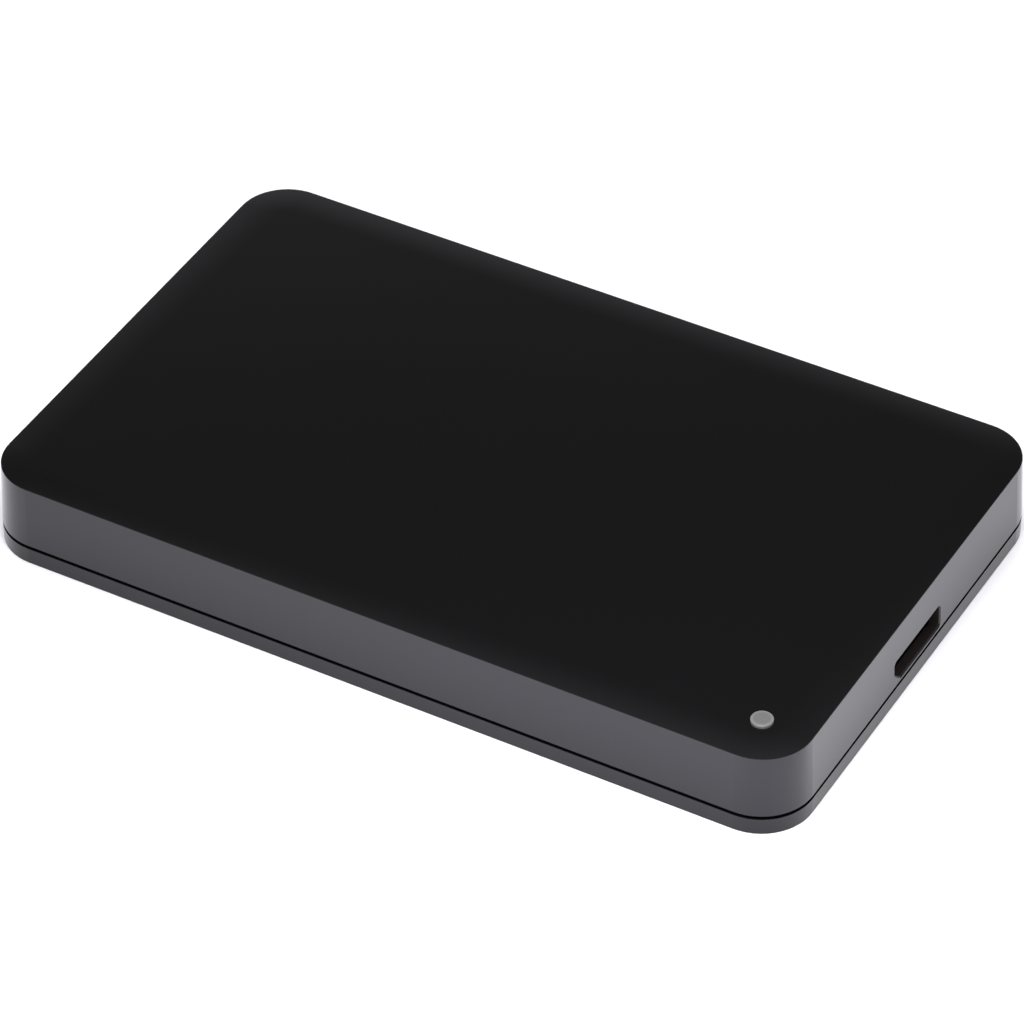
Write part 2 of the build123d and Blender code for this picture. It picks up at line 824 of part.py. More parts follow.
def pocket_outline():
    """Plan of the sealed space: the disks' round and the actuator's room."""
    room = RectangleRounded(pocket_end_x, 2 * pocket_half_width, pocket_corner_radius)
    return Circle(disk_pocket_radius) + Pos(pocket_end_x / 2, 0) * room


def side_hole_stations():
    """Places of the side holes along the drive."""
    return (drive_front_x - side_hole_front, drive_rear_x + side_hole_rear)


def cover_screw_spots():
    """Four screws at the corners of the drive's cover."""
    y = drive_half_width - cover_screw_inset
    stations = (drive_rear_x + cover_screw_inset, drive_front_x - cover_screw_inset)
    return [(x, side * y) for x in stations for side in (-1, 1)]


def board_screw_spots():
    """Three screws near the corners of the control board."""
    y = recess_half_width - board_edge_gap - board_screw_inset
    rear_x = board_rear_x + board_screw_inset
    return [(rear_x, -y), (rear_x, y), (pocket_end_x - board_screw_inset, -y)]


def drive_outline(inset=0.0):
    """Plan of the drive, drawn in by an inset."""
    middle = (drive_rear_x + drive_front_x) / 2
    corner = max(drive_corner_radius - inset, drive_corner_radius / 2)
    return Pos(middle, 0) * RectangleRounded(drive_length - 2 * inset, drive_width - 2 * inset, corner)


def drive_base():
    """Cast base: rails, sealed pocket, motor cup, board recess, connector bay and threaded holes."""
    base = raised(drive_outline(), 0, base_top_z)
    recess_start = drive_rear_x + rail_width
    half = recess_half_width
    base -= slab(recess_start, bay_x, -half, half, 0, recess_z, pocket_corner_radius)
    base -= slab(bay_x - pocket_corner_radius, bay_x, -half, half, 0, recess_z)
    base += disc(motor_cup_radius, motor_base_lift, recess_z)
    base -= raised(pocket_outline(), deck_z, base_top_z)
    base -= disc(motor_well_radius, motor_floor_z, deck_z)
    ledge = half - board_ledge_width
    for y in (-half, ledge):
        base += slab(board_rear_x, bay_x, y, y + board_ledge_width, drive_board_top, recess_z)
    board_hole = disc(board_screw_radius + screw_clearance, drive_board_top, recess_z + board_screw_bite)
    for x, y in board_screw_spots():
        base -= Pos(x, y) * board_hole
    bay_half = plug_half_width + plug_flank + connector_clearance
    bay_top = connector_height + receptacle_height / 2 + connector_clearance
    base -= slab(bay_x, drive_front_x, connector_offset - bay_half, connector_offset + bay_half, 0, bay_top)
    cover_hole = disc(cover_screw_radius + screw_clearance, base_top_z - cover_screw_depth, base_top_z)
    for x, y in cover_screw_spots():
        base -= Pos(x, y) * cover_hole
    side_hole = extrude(Plane.XZ * Circle(side_hole_radius), amount=side_hole_depth)
    for x in side_hole_stations():
        base -= Pos(x, drive_half_width, side_hole_height) * side_hole
        base -= Pos(x, -drive_half_width, side_hole_height) * (Rot(0, 0, 180) * side_hole)
    return in_case(base)


def drive_cover():
    """Stamped lid with a flange for the screws and a raised panel."""
    middle = (drive_rear_x + drive_front_x) / 2
    length = drive_length - 2 * panel_inset
    width = drive_width - 2 * panel_inset
    sheet = drive_cover_thickness
    panel = Pos(middle, 0) * RectangleRounded(length, width, panel_corner_radius)
    hollow = Pos(middle, 0) * RectangleRounded(
        length - 2 * sheet, width - 2 * sheet, panel_corner_radius - sheet
    )
    lid = raised(drive_outline(drive_cover_inset), flange_under_z, flange_under_z + sheet)
    lid += raised(panel, flange_under_z, drive_height)
    lid -= raised(hollow, flange_under_z, panel_under_z)
    hole = disc(cover_screw_radius + screw_clearance, flange_under_z, flange_under_z + sheet)
    for x, y in cover_screw_spots():
        lid -= Pos(x, y) * hole
    return in_case(lid)


def cover_gasket():
    """Seal that runs round the sealed space between the base's rim and the cover."""
    inner = offset(pocket_outline(), amount=gasket_inset)
    outer = offset(pocket_outline(), amount=gasket_inset + gasket_width)
    seal = (outer & drive_outline(drive_cover_inset)) - inner
    return in_case(raised(seal, base_top_z, flange_under_z))


def cover_screws():
    """Four low screws on the cover's flange."""
    depth = cover_screw_depth - screw_clearance + drive_cover_thickness
    screw = round_screw(cover_screw_radius, depth, cover_head_radius, cover_head_height)
    seat = flange_under_z + drive_cover_thickness
    return in_case(group(Pos(x, y, seat) * screw for x, y in cover_screw_spots()))


def drive_board():
    """Control board under the base, cut round the motor cup, with its edge under the plug."""
    half = recess_half_width - board_edge_gap
    plan = Pos((board_rear_x + tongue_root_x) / 2, 0) * Rectangle(tongue_root_x - board_rear_x, 2 * half)
    bay_half = plug_half_width + plug_flank
    ear = pocket_corner_radius
    plan -= Pos(bay_x + ear, connector_offset + bay_half + half) * Rectangle(2 * ear, 2 * half)
    plan -= Pos(bay_x + ear, connector_offset - bay_half - half) * Rectangle(2 * ear, 2 * half)
    plan -= Circle(motor_cup_radius + board_edge_gap)
    for x, y in board_screw_spots():
        plan -= Pos(x, y) * Circle(board_screw_radius + screw_clearance)
    return in_case(raised(plan, board_inset, drive_board_top))


def board_screws():
    """Three low screws that hold the control board against its ledges."""
    depth = drive_board_thickness + chip_space + board_screw_bite - screw_clearance
    screw = round_screw(board_screw_radius, depth, board_head_radius, board_head_height)
    turned = Rot(180, 0, 0) * screw
    return in_case(group(Pos(x, y, board_inset) * turned for x, y in board_screw_spots()))


board_chip_x = (motor_cup_radius + board_edge_gap + bay_x) / 2


def drive_processor():
    """Main chip of the control board."""
    package = chip(processor_size, processor_size, chip_thickness, drive_board_top)
    return in_case(Pos(board_chip_x, 0) * package)


def motor_driver_chip():
    """Power chip for the motor and the voice coil."""
    y = processor_size / 2 + chip_spacing + motor_driver_size / 2
    package = chip(motor_driver_size, motor_driver_size, chip_thickness, drive_board_top)
    return in_case(Pos(board_chip_x, y) * package)


def drive_memory_chip():
    """Buffer memory of the control board."""
    y = -(processor_size / 2 + chip_spacing + memory_width / 2)
    package = chip(memory_length, memory_width, chip_thickness, drive_board_top)
    return in_case(Pos(board_chip_x, y) * package)


def drive_connector():
    """Plug at the end of the control board: a back wall with two tongues."""
    half = plug_half_width + plug_flank
    body = slab(
        bay_x + plug_back_gap,
        tongue_root_x,
        connector_offset - half,
        connector_offset + half,
        drive_board_top,
        connector_height + receptacle_height / 2,
    )
    for y, count in tongue_row():
        width = tongue_width(count)
        body += slab(tongue_root_x, tongue_root_x + tongue_length, y, y + width, tongue_under, tongue_top)
    return in_case(body)


def drive_connector_contacts():
    """Flat contacts on the plug's tongues."""
    end = tongue_root_x + tongue_length - mating_gap
    half = contact_width / 2
    return in_case(
        group(slab(tongue_root_x, end, y - half, y + half, tongue_top, spring_z) for y in contact_places())
    )


# Spindle and disks


def bearing_sleeve():
    """Fixed sleeve in which the spindle's shaft runs."""
    roof = upper_platter_top - hub_recess - hub_roof - sleeve_roof_gap
    sleeve = disc(sleeve_radius, motor_floor_z, roof)
    return in_case(sleeve - disc(shaft_radius + bearing_clearance, motor_floor_z + skirt_gap / 2, roof))


stator_z = motor_floor_z + stator_floor_gap
core_z = stator_z + stator_coil_wall
tooth_end = stator_radius - stator_tip_wall
tooth_start = sleeve_radius + stator_yoke_wall


def stator_core():
    """Laminated core: a ring on the sleeve with a spread tip on every tooth."""
    plan = Circle(tooth_start) - Circle(sleeve_radius)
    tip_half = math.radians(stator_tip_share * 180 / stator_teeth)
    tip_x = stator_radius * math.cos(tip_half)
    tip = Rectangle(stator_tip_wall, 2 * stator_radius * math.sin(tip_half))
    for i in range(stator_teeth):
        turn = Rot(0, 0, i * 360 / stator_teeth)
        start = tooth_start - stator_yoke_wall / 2
        tooth = Pos((start + tooth_end) / 2, 0) * Rectangle(tooth_end - start, stator_tooth_width)
        plan += turn * tooth
        plan += turn * (Pos(tip_x - stator_tip_wall / 2, 0) * tip)
    return in_case(raised(plan, core_z, core_z + stator_core_height))


def stator_coils():
    """Winding round every tooth of the core."""
    height = stator_core_height + 2 * stator_coil_wall
    width = stator_tooth_width + 2 * stator_coil_wall
    start = tooth_start + stator_tip_wall / 4
    end = tooth_end - stator_tip_wall
    profile = Rectangle(width, height) - Rectangle(stator_tooth_width, stator_core_height)
    winding = extrude(Plane.YZ * (Pos(0, stator_z + height / 2) * profile), amount=end - start)
    winding = Pos(start, 0, 0) * winding
    return in_case(group(Rot(0, 0, i * 360 / stator_teeth) * winding for i in range(stator_teeth)))


def spindle_shaft():
    """Turning shaft with a threaded end for the clamp screw."""
    top = upper_platter_top - hub_recess
    shaft = disc(shaft_radius, motor_floor_z + skirt_gap, top)
    return in_case(shaft - disc(clamp_screw_radius + screw_clearance, top - clamp_screw_depth, top))


def spindle_hub():
    """Turned cup: roof on the shaft, barrel through the disks, flange under them and rotor skirt."""
    top = upper_platter_top - hub_recess
    skirt = motor_floor_z + skirt_gap
    flange = lower_platter_z - hub_flange_thickness
    profile = Polyline(
        (shaft_radius, top - hub_roof),
        (rotor_magnet_radius, top - hub_roof),
        (rotor_magnet_radius, skirt),
        (hub_radius, skirt),
        (hub_radius, flange),
        (hub_flange_radius, flange),
        (hub_flange_radius, lower_platter_z),
        (hub_radius, lower_platter_z),
        (hub_radius, top),
        (shaft_radius, top),
        close=True,
    )
    return in_case(revolve(Plane.XZ * make_face(profile), Axis.Z))


def rotor_magnet():
    """Magnet ring inside the hub's skirt."""
    bottom = motor_floor_z + skirt_gap
    bore = rotor_magnet_radius - rotor_magnet_wall
    ring = tube(rotor_magnet_radius, bore, bottom, bottom + rotor_magnet_height)
    return in_case(ring)


def platter(bottom):
    """One disk."""
    return in_case(tube(platter_radius, platter_bore, bottom, bottom + platter_thickness))


def platter_spacer():
    """Ring that keeps the two disks apart."""
    return in_case(tube(hub_flange_radius, platter_bore, lower_platter_top, upper_platter_z))


def disk_clamp():
    """Sprung disc that presses the stack of disks on the hub."""
    bore = clamp_screw_radius + screw_clearance
    top = upper_platter_top + clamp_thickness
    return in_case(tube(platter_bore + clamp_overlap, bore, upper_platter_top, top))


def clamp_screw():
    """Screw through the clamp into the shaft."""
    seat = upper_platter_top + clamp_thickness
    depth = clamp_thickness + hub_recess + clamp_screw_depth - skirt_gap
    screw = round_screw(clamp_screw_radius, depth, 2 * clamp_screw_radius, cover_head_height)
    return in_case(Pos(0, 0, seat) * screw)


# Head actuator and voice coil motor

pivot_sleeve_radius = pivot_body_radius - pivot_sleeve_fit
pivot_bore_radius = pivot_sleeve_radius - pivot_sleeve_wall


def coil_outline(direction):
    """Outer plan of the voice coil about the pivot."""
    start = direction - coil_half_angle
    plan = sector(coil_inner_radius, coil_outer_radius, start, start + 2 * coil_half_angle)
    return fillet(plan.vertices(), coil_width / 2)


def actuator_body():
    """One casting: a hub with three arms towards the disks and a fork that holds the voice coil."""
    hub_plan = Circle(pivot_body_radius)
    arm_end = arm_reach - beam_length + arm_tip_overlap
    arm_plan = make_hull(hub_plan.edges() + (Pos(arm_end, 0) * Circle(arm_tip_radius)).edges())
    window_start = pivot_body_radius + arm_window_margin
    window_half = pivot_body_radius - 2 * arm_window_margin
    corners = Polyline((window_start, -window_half), (arm_end, 0), (window_start, window_half), close=True)
    arm_plan -= make_face(corners)
    body = raised(hub_plan, lower_arm_z, upper_arm_top)
    arms = [
        (lower_arm_z, arm_thickness),
        (middle_arm_z, middle_arm_thickness),
        (upper_arm_z, arm_thickness),
    ]
    for bottom, thickness in arms:
        body += raised(arm_plan, bottom, bottom + thickness)
    direction = 180 + coil_offset
    fork = sector(
        pivot_sleeve_radius,
        coil_inner_radius + fork_reach,
        direction - fork_half_angle,
        direction + fork_half_angle,
    )
    body += raised(fork - coil_outline(direction), coil_z, coil_z + coil_thickness)
    return in_case(parked(body - disc(pivot_sleeve_radius, lower_arm_z, upper_arm_top)))


def voice_coil():
    """Flat wound coil in the fork."""
    outer = coil_outline(180 + coil_offset)
    winding = outer - offset(outer, amount=-coil_width)
    return in_case(parked(raised(winding, coil_z, coil_z + coil_thickness)))


def pivot_sleeve():
    """Outer sleeve of the pivot bearing, fixed in the actuator body."""
    bottom = lower_arm_z + pivot_end_gap
    return in_case(parked(tube(pivot_sleeve_radius, pivot_bore_radius, bottom, upper_arm_top)))


def pivot_post():
    """Fixed post from the base to the cover."""
    return in_case(at_pivot(disc(pivot_post_radius, deck_z, panel_under_z)))


def pivot_bearings():
    """Two ball bearings on the post, as plain rings."""
    ring = tube(pivot_bore_radius - bearing_clearance, pivot_post_radius, 0, pivot_bearing_height)
    low = lower_arm_z + pivot_end_gap
    high = upper_arm_top - pivot_end_gap - pivot_bearing_height
    return in_case(at_pivot(group(Pos(0, 0, z) * ring for z in (low, high))))


def head_levels():
    """Underside of each load beam, with the side on which it carries its head."""
    return [
        (lower_arm_z + arm_thickness, 1),
        (middle_arm_z - beam_thickness, -1),
        (middle_arm_z + middle_arm_thickness, 1),
        (upper_arm_z - beam_thickness, -1),
    ]


def load_beams():
    """Four tapering spring beams from the arms to the heads, each with a lift tab."""
    root = arm_reach - beam_length
    tip = arm_reach + lift_tab
    outline = Polyline(
        (root, -beam_root_width / 2),
        (tip, -beam_tip_width / 2),
        (tip, beam_tip_width / 2),
        (root, beam_root_width / 2),
        close=True,
    )
    plan = make_face(outline)
    return in_case(parked(group(raised(plan, z, z + beam_thickness) for z, _ in head_levels())))


def head_sliders():
    """Four sliders that face the surfaces of the disks."""
    sliders = []
    for z, side in head_levels():
        bottom = z + beam_thickness if side > 0 else z - slider_thickness
        plan = Pos(arm_reach, 0) * Rectangle(slider_length, slider_width)
        sliders.append(raised(plan, bottom, bottom + slider_thickness))
    return in_case(parked(group(sliders)))


stop_radius = coil_inner_radius + fork_reach - yoke_lug_width / 2
first_stop = coil_park_direction - fork_half_angle - stop_angle
last_stop = coil_inner_direction + fork_half_angle + stop_angle


def beside_swing(thickness, offset_y):
    """Upright plates between the yokes at either end of the fork's swing, offset towards the fork."""
    plates = []
    for angle, side in ((first_stop, 1), (last_stop, -1)):
        plan = Pos(stop_radius, side * offset_y) * Rectangle(yoke_lug_width, thickness)
        plate = raised(plan, deck_z + yoke_thickness, upper_yoke_z)
        plates.append(in_case(at_pivot(Rot(0, 0, angle) * plate)))
    return plates


def yoke(bottom):
    """Flat steel plate over the coil's swing."""
    start = coil_park_direction - coil_half_angle - yoke_extra_angle - stop_angle
    end = coil_inner_direction + coil_half_angle + yoke_extra_angle + stop_angle
    plan = fillet(sector(coil_inner_radius, yoke_outer_radius, start, end).vertices(), coil_width / 2)
    return in_case(at_pivot(raised(plan, bottom, bottom + yoke_thickness)))


def voice_magnet(bottom):
    """Magnet plate on the inner face of a yoke."""
    start = coil_park_direction - coil_half_angle
    end = coil_inner_direction + coil_half_angle
    inner = coil_inner_radius + voice_magnet_margin
    plan = sector(inner, coil_outer_radius - voice_magnet_margin, start, end)
    return in_case(at_pivot(raised(plan, bottom, bottom + voice_magnet_thickness)))


def lower_yoke():
    """Yoke on the deck, with the bent lugs that hold the upper yoke over it."""
    return yoke(deck_z) + beside_swing(yoke_lug_thickness, 0)


def crash_stops():
    """Rubber pads on the lugs, which stop the fork at either end."""
    reach = (yoke_lug_thickness + stop_pad_thickness) / 2
    return group(beside_swing(stop_pad_thickness, reach))


def load_ramp():
    """Parking ramp: a post outside the disks with a finger for each disk, under and over the lift tabs."""
    inner = arm_reach + slider_length / 2 + ramp_slider_gap
    post_start = arm_reach + lift_tab + ramp_tab_gap
    outer = post_start + ramp_post_width
    start = park_direction - ramp_park_angle
    end = park_direction + ramp_park_angle
    disk_room = Pos(-pivot_x, -pivot_y) * Circle(platter_radius + ramp_disk_gap)
    beside_disks = sector(inner, outer, start, end) - disk_room
    ramp = raised(sector(post_start, outer, start, end) & beside_disks, deck_z, upper_arm_z)
    levels = head_levels()
    for below, above in ((levels[0], levels[1]), (levels[2], levels[3])):
        finger_bottom = below[0] + beam_thickness + ramp_finger_gap
        finger_top = above[0] - ramp_finger_gap
        ramp += raised(beside_disks, finger_bottom, finger_top)
    return in_case(at_pivot(ramp))


def flex_bracket():
    """Block on the deck that takes the far end of the flex cable."""
    end_x = flex_along + flex_bracket_wall
    end_y = flex_side + flex_bracket_size
    top = coil_z + flex_height
    return in_case(at_pivot(slab(flex_along, end_x, flex_side, end_y, deck_z, top)))


def flex_cable():
    """Printed strip on edge, in one open bend from the actuator to its bracket."""
    direction = math.radians(park_direction - 90)
    start = (pivot_body_radius + flex_gap) * Vector(math.cos(direction), math.sin(direction))
    end = Vector(flex_along + flex_bracket_wall / 2, flex_side - flex_gap)
    bulge = (start + end) / 2 + Vector(flex_bow, -flex_bow / 2)
    strip = trace(ThreePointArc(start, bulge, end), line_width=flex_thickness)
    return in_case(at_pivot(raised(strip, coil_z, coil_z + flex_height)))


def recirculation_filter():
    """Fibre pad in the corner of the actuator's room."""
    x = pocket_end_x - pocket_corner_radius - filter_length
    y = pocket_half_width - filter_gap - filter_thickness
    end_y = y + filter_thickness
    top = deck_z + filter_height
    return in_case(slab(x, x + filter_length, y, end_y, deck_z, top))


parts = {
    "upper_cover": upper_cover(),
    "lower_tray": lower_tray(),
    "light_pipe": light_pipe(),
    "foam_pads_bottom": group(bottom_pad(side) for side in (-1, 1)),
    "foam_pads_top": group(top_pad(end) for end in (-1, 1)),
    "bridge_board": bridge_board(),
    "usb_socket_shell": usb_socket_shell(),
    "usb_socket_insulator": usb_socket_insulator(),
    "usb_socket_contacts": usb_socket_contacts(),
    "sata_receptacle": sata_receptacle(),
    "sata_receptacle_contacts": sata_receptacle_contacts(),
    "bridge_chip": bridge_chip(),
    "firmware_chip": firmware_chip(),
    "clock_crystal": clock_crystal(),
    "power_inductor": power_inductor(),
    "board_capacitors": board_capacitors(),
    "activity_led": activity_led(),
    "drive_base": drive_base(),
    "drive_cover": drive_cover(),
    "cover_gasket": cover_gasket(),
    "cover_screws": cover_screws(),
    "drive_board": drive_board(),
    "board_screws": board_screws(),
    "drive_processor": drive_processor(),
    "motor_driver_chip": motor_driver_chip(),
    "drive_memory_chip": drive_memory_chip(),
    "drive_connector": drive_connector(),
    "drive_connector_contacts": drive_connector_contacts(),
    "bearing_sleeve": bearing_sleeve(),
    "stator_core": stator_core(),
    "stator_coils": stator_coils(),
    "spindle_shaft": spindle_shaft(),
    "spindle_hub": spindle_hub(),
    "rotor_magnet": rotor_magnet(),
    "lower_platter": platter(lower_platter_z),
    "platter_spacer": platter_spacer(),
    "upper_platter": platter(upper_platter_z),
    "disk_clamp": disk_clamp(),
    "clamp_screw": clamp_screw(),
    "actuator_body": actuator_body(),
    "voice_coil": voice_coil(),
    "pivot_sleeve": pivot_sleeve(),
    "pivot_post": pivot_post(),
    "pivot_bearings": pivot_bearings(),
    "load_beams": load_beams(),
    "head_sliders": head_sliders(),
    "lower_yoke": lower_yoke(),
    "lower_voice_magnet": voice_magnet(deck_z + yoke_thickness),
    "upper_voice_magnet": voice_magnet(upper_magnet_z),
    "upper_yoke": yoke(upper_yoke_z),
    "crash_stops": crash_stops(),
    "load_ramp": load_ramp(),
    "flex_bracket": flex_bracket(),
    "flex_cable": flex_cable(),
    "recirculation_filter": recirculation_filter(),
}
for number, (x, side) in enumerate(bumper_spots(), start=1):
    parts[f"shock_bumper_{number}"] = shock_bumper(x, side)

os.makedirs("parts", exist_ok=True)
for name, shape in parts.items():
    export_step(shape, f"parts/{name}.step")
print(f"case {case_length:.2f} x {case_width:.2f} x {case_height:.2f}")
print(f"drive {drive_length:.2f} x {drive_width:.2f} x {drive_height:.2f}")
print(f"spindle {spindle_x:.4f}, pivot {spindle_x + pivot_x:.4f} {pivot_y:.4f}, swing {actuator_swing:.3f}")
print(f"port z {port_z:.3f}, mouth x {socket_mouth_x:.3f}, pipe {pipe_x:.2f} {pipe_y:.2f}")
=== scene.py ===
import math

import bmesh
import bpy
from mathutils import Matrix, Vector


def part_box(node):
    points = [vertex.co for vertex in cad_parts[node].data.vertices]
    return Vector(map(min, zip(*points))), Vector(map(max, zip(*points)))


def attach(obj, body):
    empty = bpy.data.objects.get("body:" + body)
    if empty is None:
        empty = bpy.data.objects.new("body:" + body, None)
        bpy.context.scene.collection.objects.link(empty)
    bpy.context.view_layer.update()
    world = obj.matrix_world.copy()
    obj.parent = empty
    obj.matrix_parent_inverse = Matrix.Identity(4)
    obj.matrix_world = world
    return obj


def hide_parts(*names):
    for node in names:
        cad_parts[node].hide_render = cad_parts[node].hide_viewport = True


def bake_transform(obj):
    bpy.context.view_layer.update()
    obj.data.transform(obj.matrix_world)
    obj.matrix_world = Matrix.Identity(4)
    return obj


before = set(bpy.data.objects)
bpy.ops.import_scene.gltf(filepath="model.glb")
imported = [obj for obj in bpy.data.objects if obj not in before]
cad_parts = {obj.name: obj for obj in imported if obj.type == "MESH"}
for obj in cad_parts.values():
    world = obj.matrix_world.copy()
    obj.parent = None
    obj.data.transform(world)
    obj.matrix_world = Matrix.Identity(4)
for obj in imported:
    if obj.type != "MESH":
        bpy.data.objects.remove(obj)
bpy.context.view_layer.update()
mm = 0.001               # metres
print("frame loaded,", len(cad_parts), "pieces")


def middleOf(node):
    low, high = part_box(node)
    return (low + high) / 2


def addObject(name, data):
    thing = bpy.data.objects.new(name, data)
    bpy.context.scene.collection.objects.link(thing)
    return thing


def srgb(code):
    # hex colour as picked on a screen, turned by the standard's curve to the linear values that shaders use
    channels = [int(code[i:i + 2], 16) / 255 for i in (1, 3, 5)]
    linear = [c / 12.92 if c <= 0.04045 else ((c + 0.055) / 1.055) ** 2.4 for c in channels]
    return (*linear, 1.0)


def perMetre(size):
    # scale of a noise or cell pattern whose grains are this many millimetres wide
    return 1 / (size * mm)


def wavesPerMetre(size):
    # scale of a wave pattern with this many millimetres from crest to crest: at scale 1 it is pi / 10 metres
    return math.pi / 10 / (size * mm)


def link(material, node, links):
    for name, source in links.items():
        material.node_tree.links.new(source, node.inputs[name])


def addNode(material, kind, settings, links=None):
    # a socket goes by its name, or by its number where the node has several of that name
    node = material.node_tree.nodes.new(kind)
    for name, value in settings.items():
        if isinstance(name, int) or name in node.inputs:
            node.inputs[name].default_value = value
        else:
            setattr(node, name, value)
    link(material, node, links or {})
    return node


# numbers of a Mix node's sockets, then of its outlets
mixShare, mixValueA, mixValueB, mixColourA, mixColourB = 0, 2, 3, 6, 7
mixedValue, mixedColour = 0, 2


def startMaterial(name, sockets):
    material = bpy.data.materials.new(name)
    material.use_nodes = True
    shader = material.node_tree.nodes["Principled BSDF"]
    for socket, value in sockets.items():
        shader.inputs[socket].default_value = value
    return material, shader


# ways in which a real surface is broken up: the texture, its settings and the outlet that is read
waver = {"Distortion": 0.3, "Detail": 2.0}      # how far a band strays from a straight line
patterns = {
    "grain": ("ShaderNodeTexNoise", {"Detail": 3.0}, "Fac"),
    "cells": ("ShaderNodeTexVoronoi", {}, "Distance"),
    "rings": ("ShaderNodeTexWave", {
        **waver, "wave_type": "RINGS", "rings_direction": "Z", "Distortion": 0.5}, "Fac"),
    "layers": ("ShaderNodeTexWave", {**waver, "bands_direction": "Z"}, "Fac"),
    "rows": ("ShaderNodeTexWave", {**waver, "bands_direction": "Y"}, "Fac"),
    "columns": ("ShaderNodeTexWave", {**waver, "bands_direction": "X"}, "Fac"),
}


def drawPattern(material, look, centre=(0, 0, 0)):
    # gives where a point lies on the piece, and the pattern there
    kind, settings, outlet = patterns[look["pattern"]]
    scale = wavesPerMetre(look["size"]) if kind == "ShaderNodeTexWave" else perMetre(look["size"])
    place = addNode(material, "ShaderNodeTexCoord", {})
    spot = addNode(material, "ShaderNodeMapping", {
        "Location": [-c for c in centre], "Scale": look.get("stretch", (1, 1, 1))},
        {"Vector": place.outputs["Object"]})
    drawn = addNode(material, kind, {**settings, "Scale": scale}, {"Vector": spot.outputs["Vector"]})
    return place.outputs["Object"], drawn.outputs[outlet]


def addRelief(material, shader, look, drawn):
    # the pattern gives fine relief and an uneven sheen
    sheen = addNode(material, "ShaderNodeMapRange", {
        "To Min": look["roughness"] - look["spread"],
        "To Max": look["roughness"] + look["spread"]}, {"Value": drawn})
    relief = addNode(material, "ShaderNodeBump", {"Distance": look["depth"] * mm}, {"Height": drawn})
    link(material, shader, {"Roughness": sheen.outputs["Result"], "Normal": relief.outputs["Normal"]})


def addTone(material, shader, look, share):
    # two close colours that drift into each other
    tone = addNode(material, "ShaderNodeMix", {
        "data_type": "RGBA", mixColourA: srgb(look["colour"]), mixColourB: srgb(look["tint"])},
        {mixShare: share})
    link(material, shader, {"Base Color": tone.outputs[mixedColour]})
    return tone.outputs[mixedColour]


def makeFinish(look, centre=(0, 0, 0)):
    # sizes in a look are millimetres; colour drifts over "mottle", or follows the pattern where there is none
    material, shader = startMaterial(look["stuff"], look["sockets"])
    place, drawn = drawPattern(material, look, centre)
    addRelief(material, shader, look, drawn)
    if "mottle" in look:
        cloud = addNode(material, "ShaderNodeTexNoise", {"Scale": perMetre(look["mottle"]), "Detail": 2.0},
                        {"Vector": place})
        drawn = cloud.outputs["Fac"]
    addTone(material, shader, look, drawn)
    return material


def setMaterial(piece, material):
    for slot in piece.material_slots:
        slot.link = "OBJECT"
        slot.material = material


def dress(material, *nodes):
    for node in nodes:
        setMaterial(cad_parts[node], material)


# case halves

# ABS from a spark-eroded mould: deep black whose satin sheen greys the sides by mirroring the pale floor
caseLook = {
    "stuff": "moulded ABS",
    "sockets": {"IOR": 1.5, "Specular Tint": (0.92, 0.90, 1.0, 1.0)},   # a slightly cool sheen
    "colour": "#090909",
    "tint": "#0b0b0c",
    "mottle": 30.0,
    "pattern": "grain",
    "size": 0.2,         # the mould's texture is about 0.05 mm, drawn coarser to show
    "depth": 0.002,
    "roughness": 0.14,
    "spread": 0.02,
}
# the same ABS with a coarser texture: duller, so the foot of the case mirrors a little less than its sides
trayLook = {
    **caseLook,
    "stuff": "moulded ABS, coarser texture",
    "sockets": {**caseLook["sockets"], "IOR": 1.46},
    "size": 0.25,
    "depth": 0.003,
    "roughness": 0.2,
}
# walls of the port opening: the case ABS, duller, with a paler, warmer colour that is painted light lifting
# the shade inside the opening
paintedLightOpeningLook = {
    **caseLook,
    "stuff": "moulded ABS, unpolished, with painted fill light",
    # paler and warmer than the case's own black: painted light in the opening
    "colour": "#1e1a19",
    "tint": "#231e1d",
    "roughness": 0.3,
    "margin": 0.9,       # mm, how far the opening clears the socket
    "outward": 0.5,      # a face that points less than this along X is a wall of the opening
    "finish": 1,         # place among the cover's finishes
}
crownLook = {
    "round": 0.1,        # mm, radius of the edge round the top
    "roundSteps": 4,
    "rise": 0.1,         # mm, how far the middle of the top stands above its edge
    "width": 5.3,        # mm, the band over which it rises
    "riseSteps": 12,
    "weld": 0.0001,      # mm, corners this close are one
    "level": 0.001,      # mm, heights this close are the same
}


def within(value, reach):
    return max(-abs(reach), min(abs(reach), value))


def ringOf(edges):
    # corners of one closed run of edges, in order
    start = edges[0].verts[0]
    loop, edge, corner = [start], edges[0], edges[0].other_vert(start)
    while corner is not start:
        loop.append(corner)
        edge = next(e for e in corner.link_edges if e in edges and e is not edge)
        corner = edge.other_vert(corner)
    return loop


def copyCover(look):
    # the solid's surface, which keeps at each corner the way that it faces
    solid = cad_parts["upper_cover"].data
    cast = bmesh.new()
    cast.from_mesh(solid)
    lean = cast.loops.layers.float_vector.new("lean")
    for face, plan in zip(cast.faces, solid.polygons):
        for corner, index in zip(face.loops, plan.loop_indices):
            corner[lean] = solid.corner_normals[index].vector
    bmesh.ops.remove_doubles(cast, verts=cast.verts, dist=look["weld"] * mm)
    return cast


def openTop(cast, look):
    # takes off the flat top with its edge, and gives its height, the open rim and the light pipe's hole
    level = look["level"] * mm
    top = max(v.co.z for v in cast.verts)
    shoulder = max(v.co.z for v in cast.verts if v.co.z < top - level)
    flat = [f for f in cast.faces if min(v.co.z for v in f.verts) > shoulder - level]
    bmesh.ops.delete(cast, geom=flat, context="FACES")
    rim = [e for e in cast.edges if e.is_boundary and e.verts[0].co.z < top - level]
    hole = [e for e in cast.edges if e.is_boundary and e not in rim]
    return top, ringOf(rim), hole


